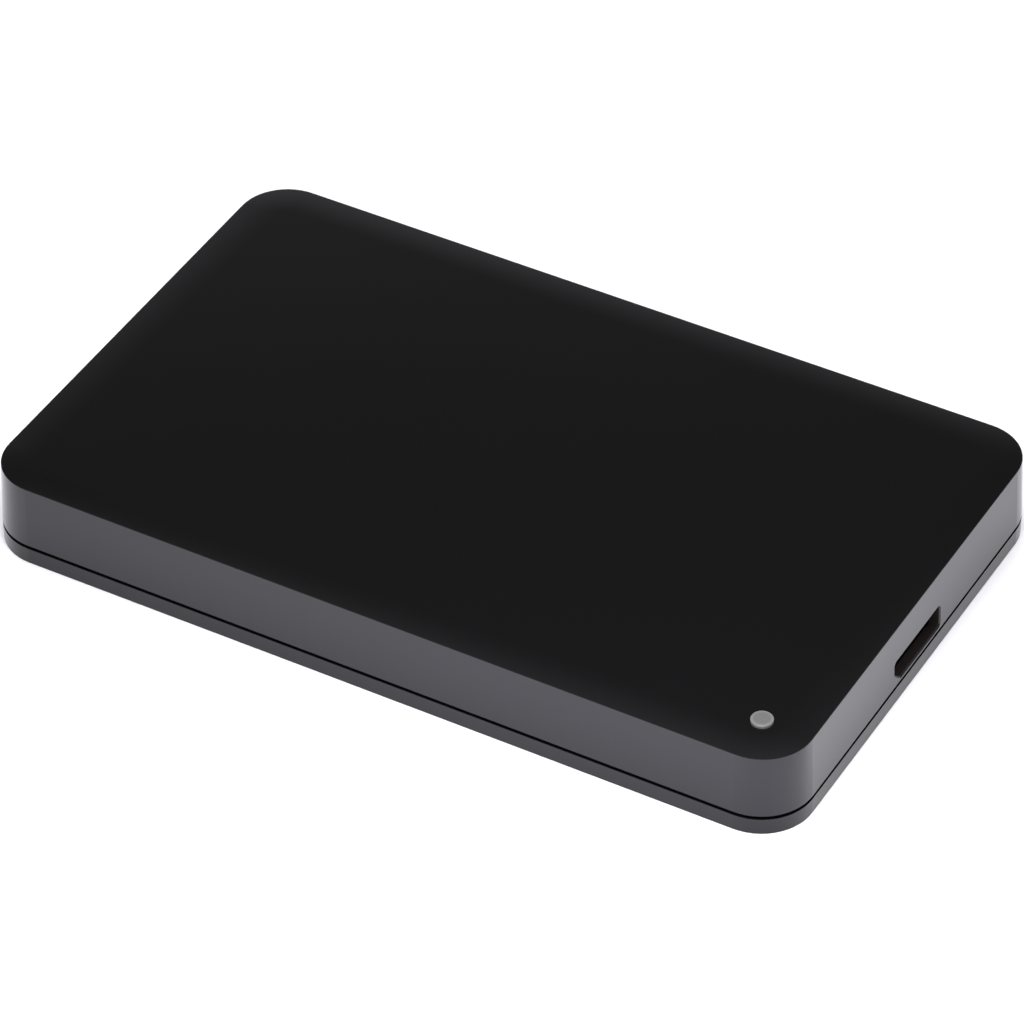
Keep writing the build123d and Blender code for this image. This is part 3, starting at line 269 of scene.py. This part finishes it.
def crownSteps(look):
    # inset and drop in millimetres, and slope, of each ring from the edge inwards
    steps = []
    for i in range(1, look["roundSteps"] + 1):
        turn = math.pi / 2 * i / (look["roundSteps"] + 1)
        steps.append((look["round"] * (1 - math.cos(turn)),
                      look["rise"] + look["round"] * (1 - math.sin(turn)),
                      1 / math.tan(turn)))
    for i in range(look["riseSteps"] + 1):
        share = i / look["riseSteps"]
        steps.append((look["round"] + look["width"] * share,
                      look["rise"] * (1 - share) ** 2,
                      2 * look["rise"] / look["width"] * (1 - share)))
    return steps


def raiseCrown(cast, look):
    # rings step inwards from the rim, and the flat middle closes them round the light pipe's hole
    top, loop, hole = openTop(cast, look)
    lean = cast.loops.layers.float_vector["lean"]
    bend = middleOf("light_pipe")          # the light pipe stands at the middle of the corner's bend
    seats = [Vector((within(v.co.x, bend.x), within(v.co.y, bend.y), 0)) for v in loop]
    arms = [Vector((v.co.x, v.co.y, 0)) - seat for v, seat in zip(loop, seats)]
    for v in loop:
        v.co.z = top - (look["rise"] + look["round"]) * mm
    facing = {v: arm.normalized() for v, arm in zip(loop, arms)}
    for inset, drop, slope in crownSteps(look):
        ring = []
        for seat, arm in zip(seats, arms):
            out = arm.normalized()
            spot = seat + out * (arm.length - inset * mm)
            ring.append(cast.verts.new((spot.x, spot.y, top - drop * mm)))
            facing[ring[-1]] = Vector((out.x * slope, out.y * slope, 1)).normalized()
        for i in range(len(loop)):
            face = cast.faces.new((loop[i - 1], loop[i], ring[i], ring[i - 1]))
            for corner in face.loops:
                corner[lean] = facing[corner.vert]
        loop = ring
    inner = [cast.edges.get((loop[i - 1], loop[i])) for i in range(len(loop))]
    middle = bmesh.ops.triangle_fill(cast, edges=inner + hole, use_beauty=True, normal=(0, 0, 1))
    for face in middle["geom"]:
        if isinstance(face, bmesh.types.BMFace):
            for corner in face.loops:
                corner[lean] = (0, 0, 1)
    bmesh.ops.recalc_face_normals(cast, faces=cast.faces)


def markOpening(cast, look):
    # the walls between the mouth of the socket and the outside, which take the finish with painted light
    low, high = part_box("usb_socket_shell")
    margin = look["margin"] * mm
    for face in cast.faces:
        spot = face.calc_center_median()
        beside = low.y - margin < spot.y < high.y + margin
        level = low.z - margin < spot.z < high.z + margin
        if spot.x > high.x and beside and level and abs(face.normal.x) < look["outward"]:
            face.material_index = look["finish"]


def crownCover(crown, opening):
    # same moulding as the solid, with the faint crown and round edge that shrinkage leaves on a moulded lid
    cast = copyCover(crown)
    raiseCrown(cast, crown)
    markOpening(cast, opening)
    for face in cast.faces:
        face.smooth = True
    mesh = bpy.data.meshes.new("crowned_cover")
    cast.to_mesh(mesh)
    cast.free()
    mesh.normals_split_custom_set([corner.vector for corner in mesh.attributes["lean"].data])
    piece = addObject("crowned_cover", mesh)
    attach(piece, "case")
    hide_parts("upper_cover")
    return piece


cover = crownCover(crownLook, paintedLightOpeningLook)
cover.data.materials.append(makeFinish(caseLook))
# second finish: the opening's walls, with painted light
cover.data.materials.append(makeFinish(paintedLightOpeningLook))
dress(makeFinish(trayLook), "lower_tray")
print("case dressed,", len(cover.data.polygons), "faces in the cover")


# light pipe

# diffusing polycarbonate over a dark well: milky grey, with a painted highlight as a paler ring at the rim
pipeLook = {
    "stuff": "moulded polycarbonate",
    "sockets": {"IOR": 1.58, "Transmission Weight": 0.15},
    "colour": "#5f5f5f",
    # the paler tint is the painted highlight at the rim
    "tint": "#777777",
    "rim": (1.05, 1.55),    # mm from the axis, where the painted highlight ring starts and where it is full
    "pattern": "grain",
    "size": 0.12,
    "depth": 0.003,
    "roughness": 0.3,
    "spread": 0.08,
}


def pipeWithPaintedRimHighlight(look):
    # colour goes by the distance from the pin's axis, paler towards the rim as a painted highlight
    material, shader = startMaterial(look["stuff"], look["sockets"])
    place, drawn = drawPattern(material, look)
    addRelief(material, shader, look, drawn)
    axis = middleOf("light_pipe")
    flat = addNode(material, "ShaderNodeMapping", {
        "Location": (-axis.x, -axis.y, 0), "Scale": (1, 1, 0)}, {"Vector": place})
    reach = addNode(material, "ShaderNodeVectorMath", {"operation": "LENGTH"}, {0: flat.outputs["Vector"]})
    start, full = look["rim"]
    rim = addNode(material, "ShaderNodeMapRange", {
        "interpolation_type": "SMOOTHSTEP", "From Min": start * mm, "From Max": full * mm},
        {"Value": reach.outputs["Value"]})
    addTone(material, shader, look, rim.outputs["Result"])
    return material


dress(pipeWithPaintedRimHighlight(pipeLook), "light_pipe")
print("light pipe dressed")


# board with the data port

# stamped stainless sheet: bright, with fine lines along the way it was rolled
socketLook = {
    "stuff": "stamped stainless steel",
    "sockets": {"Metallic": 1.0},
    "colour": "#9c9a97",
    "tint": "#a9a7a4",
    "mottle": 2.0,
    "pattern": "grain",
    "size": 0.15,
    "stretch": (0.08, 1, 1),
    "depth": 0.001,
    "roughness": 0.3,
    "spread": 0.06,
}
# glass-filled nylon: matt black, with short fibres that show as faint streaks
connectorLook = {
    "stuff": "glass-filled nylon",
    "sockets": {"IOR": 1.53},
    "colour": "#262322",
    "tint": "#302c2b",
    "mottle": 1.2,
    "pattern": "grain",
    "size": 0.12,
    "stretch": (0.3, 1, 1),
    "depth": 0.004,
    "roughness": 0.5,
    "spread": 0.1,
}
# thin hard gold over nickel: warm and bright, with wear dulling the sheen in patches
goldLook = {
    "stuff": "gold flash over nickel",
    "sockets": {"Metallic": 1.0},
    "colour": "#e6c070",
    "tint": "#d9b468",
    "mottle": 0.6,
    "pattern": "grain",
    "size": 0.08,
    "depth": 0.0005,
    "roughness": 0.24,
    "spread": 0.08,
}
# green lacquer over copper tracks on woven glass: glossy, tracks just showing through, tan at the cut edges
maskLook = {
    "stuff": "glass epoxy laminate",
    "sockets": {"IOR": 1.52},
    "colour": "#0f4a2a",
    "tint": "#1c6a3d",
    "edge": "#a89a6a",
    "field": 6.0,        # mm, patches in which the tracks run one way
    "turned": 0.5,       # shade of the patches above which the tracks run the other way
    "pattern": "rows",
    "crossing": "columns",
    "size": 0.8,         # tracks are really 0.2 to 0.4 mm apart, drawn coarser to show
    "ridge": (0.35, 0.65),      # height of the wave at which a track's edge starts and ends
    "depth": 0.012,
    "roughness": 0.3,
    "spread": 0.06,
}
# transfer-moulded epoxy with silica filler: dull charcoal with a fine even tooth
chipLook = {
    "stuff": "moulded epoxy",
    "sockets": {"IOR": 1.55},
    "colour": "#141416",
    "tint": "#1b1b1d",
    "mottle": 0.9,
    "pattern": "grain",
    "size": 0.06,
    "depth": 0.002,
    "roughness": 0.55,
    "spread": 0.08,
}
# drawn nickel-plated steel can: soft mirror with lines along the draw
canLook = {
    "stuff": "drawn steel can",
    "sockets": {"Metallic": 1.0},
    "colour": "#bdbab3",
    "tint": "#c8c5be",
    "mottle": 1.0,
    "pattern": "grain",
    "size": 0.1,
    "stretch": (1, 0.1, 1),
    "depth": 0.0008,
    "roughness": 0.24,
    "spread": 0.06,
}
# pressed ferrite powder: dark stone grey, slightly speckled
ferriteLook = {
    "stuff": "pressed ferrite",
    "sockets": {"IOR": 1.9},
    "colour": "#26262a",
    "tint": "#37373b",
    "pattern": "cells",
    "size": 0.18,
    "depth": 0.006,
    "roughness": 0.6,
    "spread": 0.1,
}
# fired barium titanate: matt tan, each chip a shade of its own
ceramicLook = {
    "stuff": "fired ceramic",
    "sockets": {"IOR": 1.7},
    "colour": "#a88a62",
    "tint": "#c4a981",
    "pattern": "grain",
    "size": 0.08,
    "depth": 0.002,
    "roughness": 0.45,
    "spread": 0.08,
}
# clear epoxy with a little phosphor: pale yellow, half see-through
diodeLook = {
    "stuff": "clear diode epoxy",
    "sockets": {"IOR": 1.54, "Transmission Weight": 0.35},
    "colour": "#efe6bf",
    "tint": "#f6f1dc",
    "mottle": 0.5,
    "pattern": "grain",
    "size": 0.1,
    "depth": 0.001,
    "roughness": 0.22,
    "spread": 0.06,
}


def solderMask(look):
    # patches of tracks along and across the board, and the bare laminate wherever a face stands upright
    material, shader = startMaterial(look["stuff"], look["sockets"])
    place, across = drawPattern(material, look)
    along = drawPattern(material, {**look, "pattern": look["crossing"]})[1]
    patch = addNode(material, "ShaderNodeTexNoise", {"Scale": perMetre(look["field"]), "Detail": 0.0},
                    {"Vector": place})
    turn = addNode(material, "ShaderNodeMath", {"operation": "GREATER_THAN", 1: look["turned"]},
                   {0: patch.outputs["Fac"]})
    tracks = addNode(material, "ShaderNodeMix", {}, {
        mixShare: turn.outputs["Value"], mixValueA: across, mixValueB: along})
    start, full = look["ridge"]
    ridge = addNode(material, "ShaderNodeMapRange", {
        "interpolation_type": "SMOOTHSTEP", "From Min": start, "From Max": full},
        {"Value": tracks.outputs[mixedValue]})
    addRelief(material, shader, look, ridge.outputs["Result"])
    green = addTone(material, shader, look, ridge.outputs["Result"])
    shape = addNode(material, "ShaderNodeNewGeometry", {})
    facing = addNode(material, "ShaderNodeSeparateXYZ", {}, {"Vector": shape.outputs["True Normal"]})
    level = addNode(material, "ShaderNodeMath", {"operation": "ABSOLUTE"}, {0: facing.outputs["Z"]})
    whole = addNode(material, "ShaderNodeMix", {"data_type": "RGBA", mixColourA: srgb(look["edge"])},
                    {mixShare: level.outputs["Value"], mixColourB: green})
    link(material, shader, {"Base Color": whole.outputs[mixedColour]})
    return material


def firedChips(look):
    # the share of the two colours is drawn for each chip, not for each spot
    material, shader = startMaterial(look["stuff"], look["sockets"])
    addRelief(material, shader, look, drawPattern(material, look)[1])
    shape = addNode(material, "ShaderNodeNewGeometry", {})
    addTone(material, shader, look, shape.outputs["Random Per Island"])
    return material


dress(makeFinish(socketLook), "usb_socket_shell")
dress(makeFinish(connectorLook), "usb_socket_insulator", "sata_receptacle", "drive_connector")
dress(makeFinish(goldLook), "usb_socket_contacts", "sata_receptacle_contacts", "drive_connector_contacts")
dress(solderMask(maskLook), "bridge_board", "drive_board")
dress(makeFinish(chipLook), "bridge_chip", "firmware_chip", "drive_processor", "motor_driver_chip",
      "drive_memory_chip")
dress(makeFinish(canLook), "clock_crystal")
dress(makeFinish(ferriteLook), "power_inductor")
dress(firedChips(ceramicLook), "board_capacitors")
dress(makeFinish(diodeLook), "activity_led")
print("board dressed")


# drive housing, bumpers and foam

# die-cast aluminium: pale grey, cloudy where the melt froze, with a sandy skin
castLook = {
    "stuff": "die-cast aluminium",
    "sockets": {"Metallic": 1.0},
    "colour": "#a2a4a6",
    "tint": "#b4b6b8",
    "mottle": 4.0,
    "pattern": "grain",
    "size": 0.35,
    "depth": 0.01,
    "roughness": 0.45,
    "spread": 0.1,
}
# rolled sheet: brighter, with fine lines along its length
sheetLook = {
    "stuff": "rolled aluminium sheet",
    "sockets": {"Metallic": 1.0},
    "colour": "#c2c4c6",
    "tint": "#cccdcf",
    "mottle": 8.0,
    "pattern": "grain",
    "size": 0.25,
    "stretch": (0.03, 1, 1),
    "depth": 0.0015,
    "roughness": 0.32,
    "spread": 0.07,
}
# black zinc over steel: dark, slightly cloudy metal
screwLook = {
    "stuff": "black zinc on steel",
    "sockets": {"Metallic": 1.0},
    "colour": "#3c3c40",
    "tint": "#4a4a4e",
    "mottle": 0.8,
    "pattern": "grain",
    "size": 0.12,
    "depth": 0.001,
    "roughness": 0.36,
    "spread": 0.08,
}
# soft elastomer: matt near-black that scatters what little it reflects
bumperLook = {
    "stuff": "moulded elastomer",
    "sockets": {"IOR": 1.5},
    "colour": "#171718",
    "tint": "#1f1f20",
    "mottle": 2.5,
    "pattern": "grain",
    "size": 0.2,
    "depth": 0.006,
    "roughness": 0.75,
    "spread": 0.1,
}
# gasket laid as a bead: dark grey, smoother than the bumpers
sealLook = {
    **bumperLook,
    "stuff": "dispensed gasket rubber",
    "colour": "#222224",
    "tint": "#2b2b2d",
    "roughness": 0.55,
}
# open-cell polyurethane: soft charcoal full of pores
foamLook = {
    "stuff": "open-cell foam",
    "sockets": {"IOR": 1.45, "Specular IOR Level": 0.2},
    "colour": "#232325",
    "tint": "#444447",
    "pattern": "cells",
    "size": 0.5,
    "depth": 0.15,
    "roughness": 0.9,
    "spread": 0.08,
}

dress(makeFinish(castLook), "drive_base")
dress(makeFinish(sheetLook), "drive_cover")
dress(makeFinish(screwLook), "cover_screws", "board_screws", "clamp_screw")
dress(makeFinish(bumperLook), "shock_bumper_1", "shock_bumper_2", "shock_bumper_3", "shock_bumper_4",
      "crash_stops")
dress(makeFinish(sealLook), "cover_gasket")
dress(makeFinish(foamLook), "foam_pads_bottom", "foam_pads_top")
print("drive housing dressed")


# disk pack

# aluminium cut on a lathe: bright rings round the axis
turnedLook = {
    "stuff": "turned aluminium",
    "sockets": {"Metallic": 1.0},
    "colour": "#b9bbbd",
    "tint": "#c6c8ca",
    "mottle": 3.0,
    "pattern": "rings",
    "size": 0.2,         # feed marks of about 0.05 mm, drawn coarser to show
    "depth": 0.0015,
    "roughness": 0.26,
    "spread": 0.07,
}
# sputtered cobalt alloy under carbon: a clean dark-toned mirror with a trace of circular polish
platterLook = {
    "stuff": "sputtered cobalt on glass",
    "sockets": {"Metallic": 1.0},
    "colour": "#a8a9ae",
    "tint": "#b0b1b5",
    "pattern": "rings",
    "size": 0.6,         # polish marks are far finer, drawn coarser to show
    "depth": 0.00005,
    "roughness": 0.06,
    "spread": 0.015,
}
# hardened and ground steel: grey, tight straight lines
groundLook = {
    "stuff": "ground steel",
    "sockets": {"Metallic": 1.0},
    "colour": "#8f8e8c",
    "tint": "#9c9b98",
    "mottle": 1.5,
    "pattern": "grain",
    "size": 0.1,
    "stretch": (1, 0.15, 1),
    "depth": 0.0006,
    "roughness": 0.25,
    "spread": 0.06,
}
# oil-soaked sintered bronze: brown gold, pitted with pores
bronzeLook = {
    "stuff": "sintered bronze",
    "sockets": {"Metallic": 1.0},
    "colour": "#8a6232",
    "tint": "#a87a42",
    "pattern": "cells",
    "size": 0.12,
    "depth": 0.004,
    "roughness": 0.45,
    "spread": 0.1,
}
# punched silicon steel sheets in a stack: dark layers one above the other
stackLook = {
    "stuff": "stacked electrical steel",
    "sockets": {"Metallic": 1.0},
    "colour": "#545558",
    "tint": "#7b7c7f",
    "pattern": "layers",
    "size": 0.2,
    "depth": 0.01,
    "roughness": 0.42,
    "spread": 0.08,
}
# neodymium powder bonded in epoxy: dark grey with a metal glint
bondedLook = {
    "stuff": "bonded magnet powder",
    "sockets": {"Metallic": 0.35},
    "colour": "#2c2c2f",
    "tint": "#4a494c",
    "pattern": "cells",
    "size": 0.1,
    "depth": 0.003,
    "roughness": 0.5,
    "spread": 0.1,
}
# copper under enamel: glossy red-brown turns side by side
wireLook = {
    "stuff": "enamelled copper wire",
    "sockets": {"Metallic": 1.0, "Coat Weight": 0.6, "Coat Roughness": 0.15},
    "colour": "#8f4620",
    "tint": "#c9763f",
    "pattern": "layers",
    "size": 0.18,
    "depth": 0.04,
    "roughness": 0.3,
    "spread": 0.08,
}

spindle = middleOf("spindle_hub")      # the rings run round it
dress(makeFinish(turnedLook, spindle), "spindle_hub", "platter_spacer")
dress(makeFinish(platterLook, spindle), "lower_platter", "upper_platter")
dress(makeFinish(groundLook), "spindle_shaft", "disk_clamp", "pivot_sleeve", "pivot_post", "pivot_bearings",
      "load_beams")
dress(makeFinish(bronzeLook), "bearing_sleeve")
dress(makeFinish(stackLook), "stator_core")
dress(makeFinish(bondedLook), "rotor_magnet")
dress(makeFinish(wireLook), "stator_coils", "voice_coil")
print("disk pack dressed")


# head actuator

# electroless nickel: warm pale metal with a slight cloud
yokeLook = {
    "stuff": "nickel-plated steel",
    "sockets": {"Metallic": 1.0},
    "colour": "#a8a498",
    "tint": "#b7b3a7",
    "mottle": 5.0,
    "pattern": "grain",
    "size": 0.15,
    "depth": 0.001,
    "roughness": 0.3,
    "spread": 0.08,
}
# bright nickel on a pressed magnet: shinier and whiter than the yokes
magnetLook = {
    **yokeLook,
    "stuff": "nickel-plated magnet",
    "colour": "#c4c0b5",
    "tint": "#cfccc2",
    "roughness": 0.18,
    "spread": 0.05,
}
# alumina with titanium carbide: nearly black ceramic, lapped to a soft shine
sliderLook = {
    "stuff": "lapped alumina carbide",
    "sockets": {"IOR": 2.2},
    "colour": "#29282b",
    "tint": "#353437",
    "mottle": 0.3,
    "pattern": "grain",
    "size": 0.05,
    "depth": 0.0005,
    "roughness": 0.2,
    "spread": 0.05,
}
# natural acetal: waxy white with a soft surface
acetalLook = {
    "stuff": "moulded acetal",
    "sockets": {"IOR": 1.48, "Subsurface Weight": 0.2, "Subsurface Radius": (0.002, 0.002, 0.0018)},
    "colour": "#dcd9cf",
    "tint": "#e8e5dc",
    "mottle": 3.0,
    "pattern": "grain",
    "size": 0.15,
    "depth": 0.002,
    "roughness": 0.38,
    "spread": 0.06,
}
# polyimide over copper: amber film with the copper tracks showing through along its length
filmLook = {
    "stuff": "polyimide film on copper",
    "sockets": {"IOR": 1.7, "Coat Weight": 0.3, "Coat Roughness": 0.2},
    "colour": "#7a3d10",
    "tint": "#c07a2c",
    "pattern": "layers",
    "size": 0.5,
    "depth": 0.01,
    "roughness": 0.32,
    "spread": 0.06,
}
# charged polypropylene felt: white, with fibres lying every way
feltLook = {
    "stuff": "electret fibre felt",
    "sockets": {"IOR": 1.49, "Specular IOR Level": 0.2},
    "colour": "#c9c9c4",
    "tint": "#ecece8",
    "pattern": "grain",
    "size": 0.25,
    "stretch": (0.25, 1, 0.6),
    "depth": 0.08,
    "roughness": 0.9,
    "spread": 0.08,
}


def bendRibbon(look):
    # a copy of the flex cable's mesh, in place of it, with its own finish
    piece = addObject("flex_ribbon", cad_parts["flex_cable"].data.copy())
    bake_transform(piece)
    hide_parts("flex_cable")
    setMaterial(piece, makeFinish(look))


bendRibbon(filmLook)
dress(makeFinish(turnedLook, middleOf("pivot_post")), "actuator_body")
dress(makeFinish(yokeLook), "lower_yoke", "upper_yoke")
dress(makeFinish(magnetLook), "lower_voice_magnet", "upper_voice_magnet")
dress(makeFinish(sliderLook), "head_sliders")
dress(makeFinish(acetalLook), "load_ramp", "flex_bracket")
dress(makeFinish(feltLook), "recirculation_filter")
print("head actuator dressed")


# camera, as fitted to the outline in the photograph

cameraLook = {
    "target": (1.760, -3.086, 6.240),   # mm
    "distance": 806.97,                 # mm
    "azimuth": 29.761,                  # degrees, as the next two
    "elevation": 40.534,
    "roll": -0.553,
    "lens": 200.17,                     # mm, as the rest
    "sensor": 36.0,
    "nearest": 10.0,
    "farthest": 50000.0,
}


def placeCamera(look):
    turn, rise, roll = (math.radians(look[name]) for name in ("azimuth", "elevation", "roll"))
    back = Vector((math.sin(turn) * math.cos(rise), -math.cos(turn) * math.cos(rise), math.sin(rise)))
    lens = bpy.data.cameras.new("camera")
    lens.lens = look["lens"]
    lens.sensor_width = look["sensor"]
    lens.clip_start = look["nearest"] * mm
    lens.clip_end = look["farthest"] * mm
    camera = addObject("camera", lens)
    spot = Vector(look["target"]) * mm + back * look["distance"] * mm
    aim = (-back).to_track_quat("-Z", "Y").to_matrix().to_4x4()
    camera.matrix_world = Matrix.Translation(spot) @ aim @ Matrix.Rotation(roll, 4, "Z")
    bpy.context.scene.camera = camera


# floor, lights and sky

# uncoated white paper: matt, even and a trace cool, which is what the sides of the case mirror
floorLook = {
    "stuff": "white paper sweep",
    "sockets": {"Base Color": srgb("#f4f3f8"), "Roughness": 0.6, "Specular IOR Level": 0.0},
    "half": 4000.0,      # mm, from the middle to an edge
}
# place and size in mm, power in watts
lightLooks = {
    "overhead_light": {"spot": (0, 450, 1100), "size": 1400, "power": 14.8},
    "front_light": {"spot": (70, -155, 170), "size": 160, "power": 0.7},
}
skyLook = {
    "horizon": 0.5,      # brightness near the horizon
    "start": 0.37,       # brightness at the height "rise", where it is already falling
    "rise": 35.0,        # degrees above the horizon
    "fall": 2.2,         # degrees over which it falls to about a third
    "ceiling": 0.55,     # brightness overhead
    "low": 42.6,         # degrees, where the ceiling begins
    "high": 50.0,        # degrees, where it is full
}


def layFloor(look):
    half = look["half"] * mm
    corners = [(-half, -half, 0), (half, -half, 0), (half, half, 0), (-half, half, 0)]
    sheet = bpy.data.meshes.new("floor")
    sheet.from_pydata(corners, [], [(0, 1, 2, 3)])
    sheet.materials.append(startMaterial(look["stuff"], look["sockets"])[0])
    addObject("floor", sheet)


def hangLights(looks):
    for name, look in looks.items():
        lamp = bpy.data.lights.new(name, "AREA")
        lamp.size = look["size"] * mm
        lamp.energy = look["power"]
        light = addObject(name, lamp)
        light.location = Vector(look["spot"]) * mm
        light.visible_glossy = False      # they light the floor, and the top doesn't mirror them
        light.visible_camera = False


def paintSky(look):
    # pale at the horizon, dark halfway up and dim overhead, so that flat tops stay dark
    world = bpy.data.worlds.new("studio")
    world.use_nodes = True
    bpy.context.scene.world = world
    rise, edge, low, high = (math.radians(degrees) for degrees in (
        look["rise"], look["rise"] + look["fall"], look["low"], look["high"]))
    place = addNode(world, "ShaderNodeTexCoord", {})
    height = addNode(world, "ShaderNodeSeparateXYZ", {}, {"Vector": place.outputs["Generated"]})
    angle = addNode(world, "ShaderNodeMath", {"operation": "ARCSINE"}, {0: height.outputs["Z"]})
    drop = addNode(world, "ShaderNodeMapRange", {
        "clamp": False, "From Min": rise, "From Max": edge, "To Min": 0.0, "To Max": -1.0},
        {"Value": angle.outputs["Value"]})
    fade = addNode(world, "ShaderNodeMath", {"operation": "EXPONENT"}, {0: drop.outputs["Result"]})
    glow = addNode(world, "ShaderNodeMath", {"operation": "MULTIPLY", 1: look["start"]},
                   {0: fade.outputs["Value"]})
    capped = addNode(world, "ShaderNodeMath", {"operation": "MINIMUM", 1: look["horizon"]},
                     {0: glow.outputs["Value"]})
    ceiling = addNode(world, "ShaderNodeMapRange", {
        "From Min": low, "From Max": high, "To Max": look["ceiling"]}, {"Value": angle.outputs["Value"]})
    whole = addNode(world, "ShaderNodeMath", {"operation": "ADD"}, {
        0: capped.outputs["Value"], 1: ceiling.outputs["Result"]})
    background = world.node_tree.nodes["Background"]
    background.inputs["Color"].default_value = (1, 1, 1, 1)
    link(world, background, {"Strength": whole.outputs["Value"]})


layFloor(floorLook)
hangLights(lightLooks)
paintSky(skyLook)
placeCamera(cameraLook)
bpy.context.scene.view_settings.view_transform = "Standard"
print("studio ready")

bpy.context.view_layer.update()
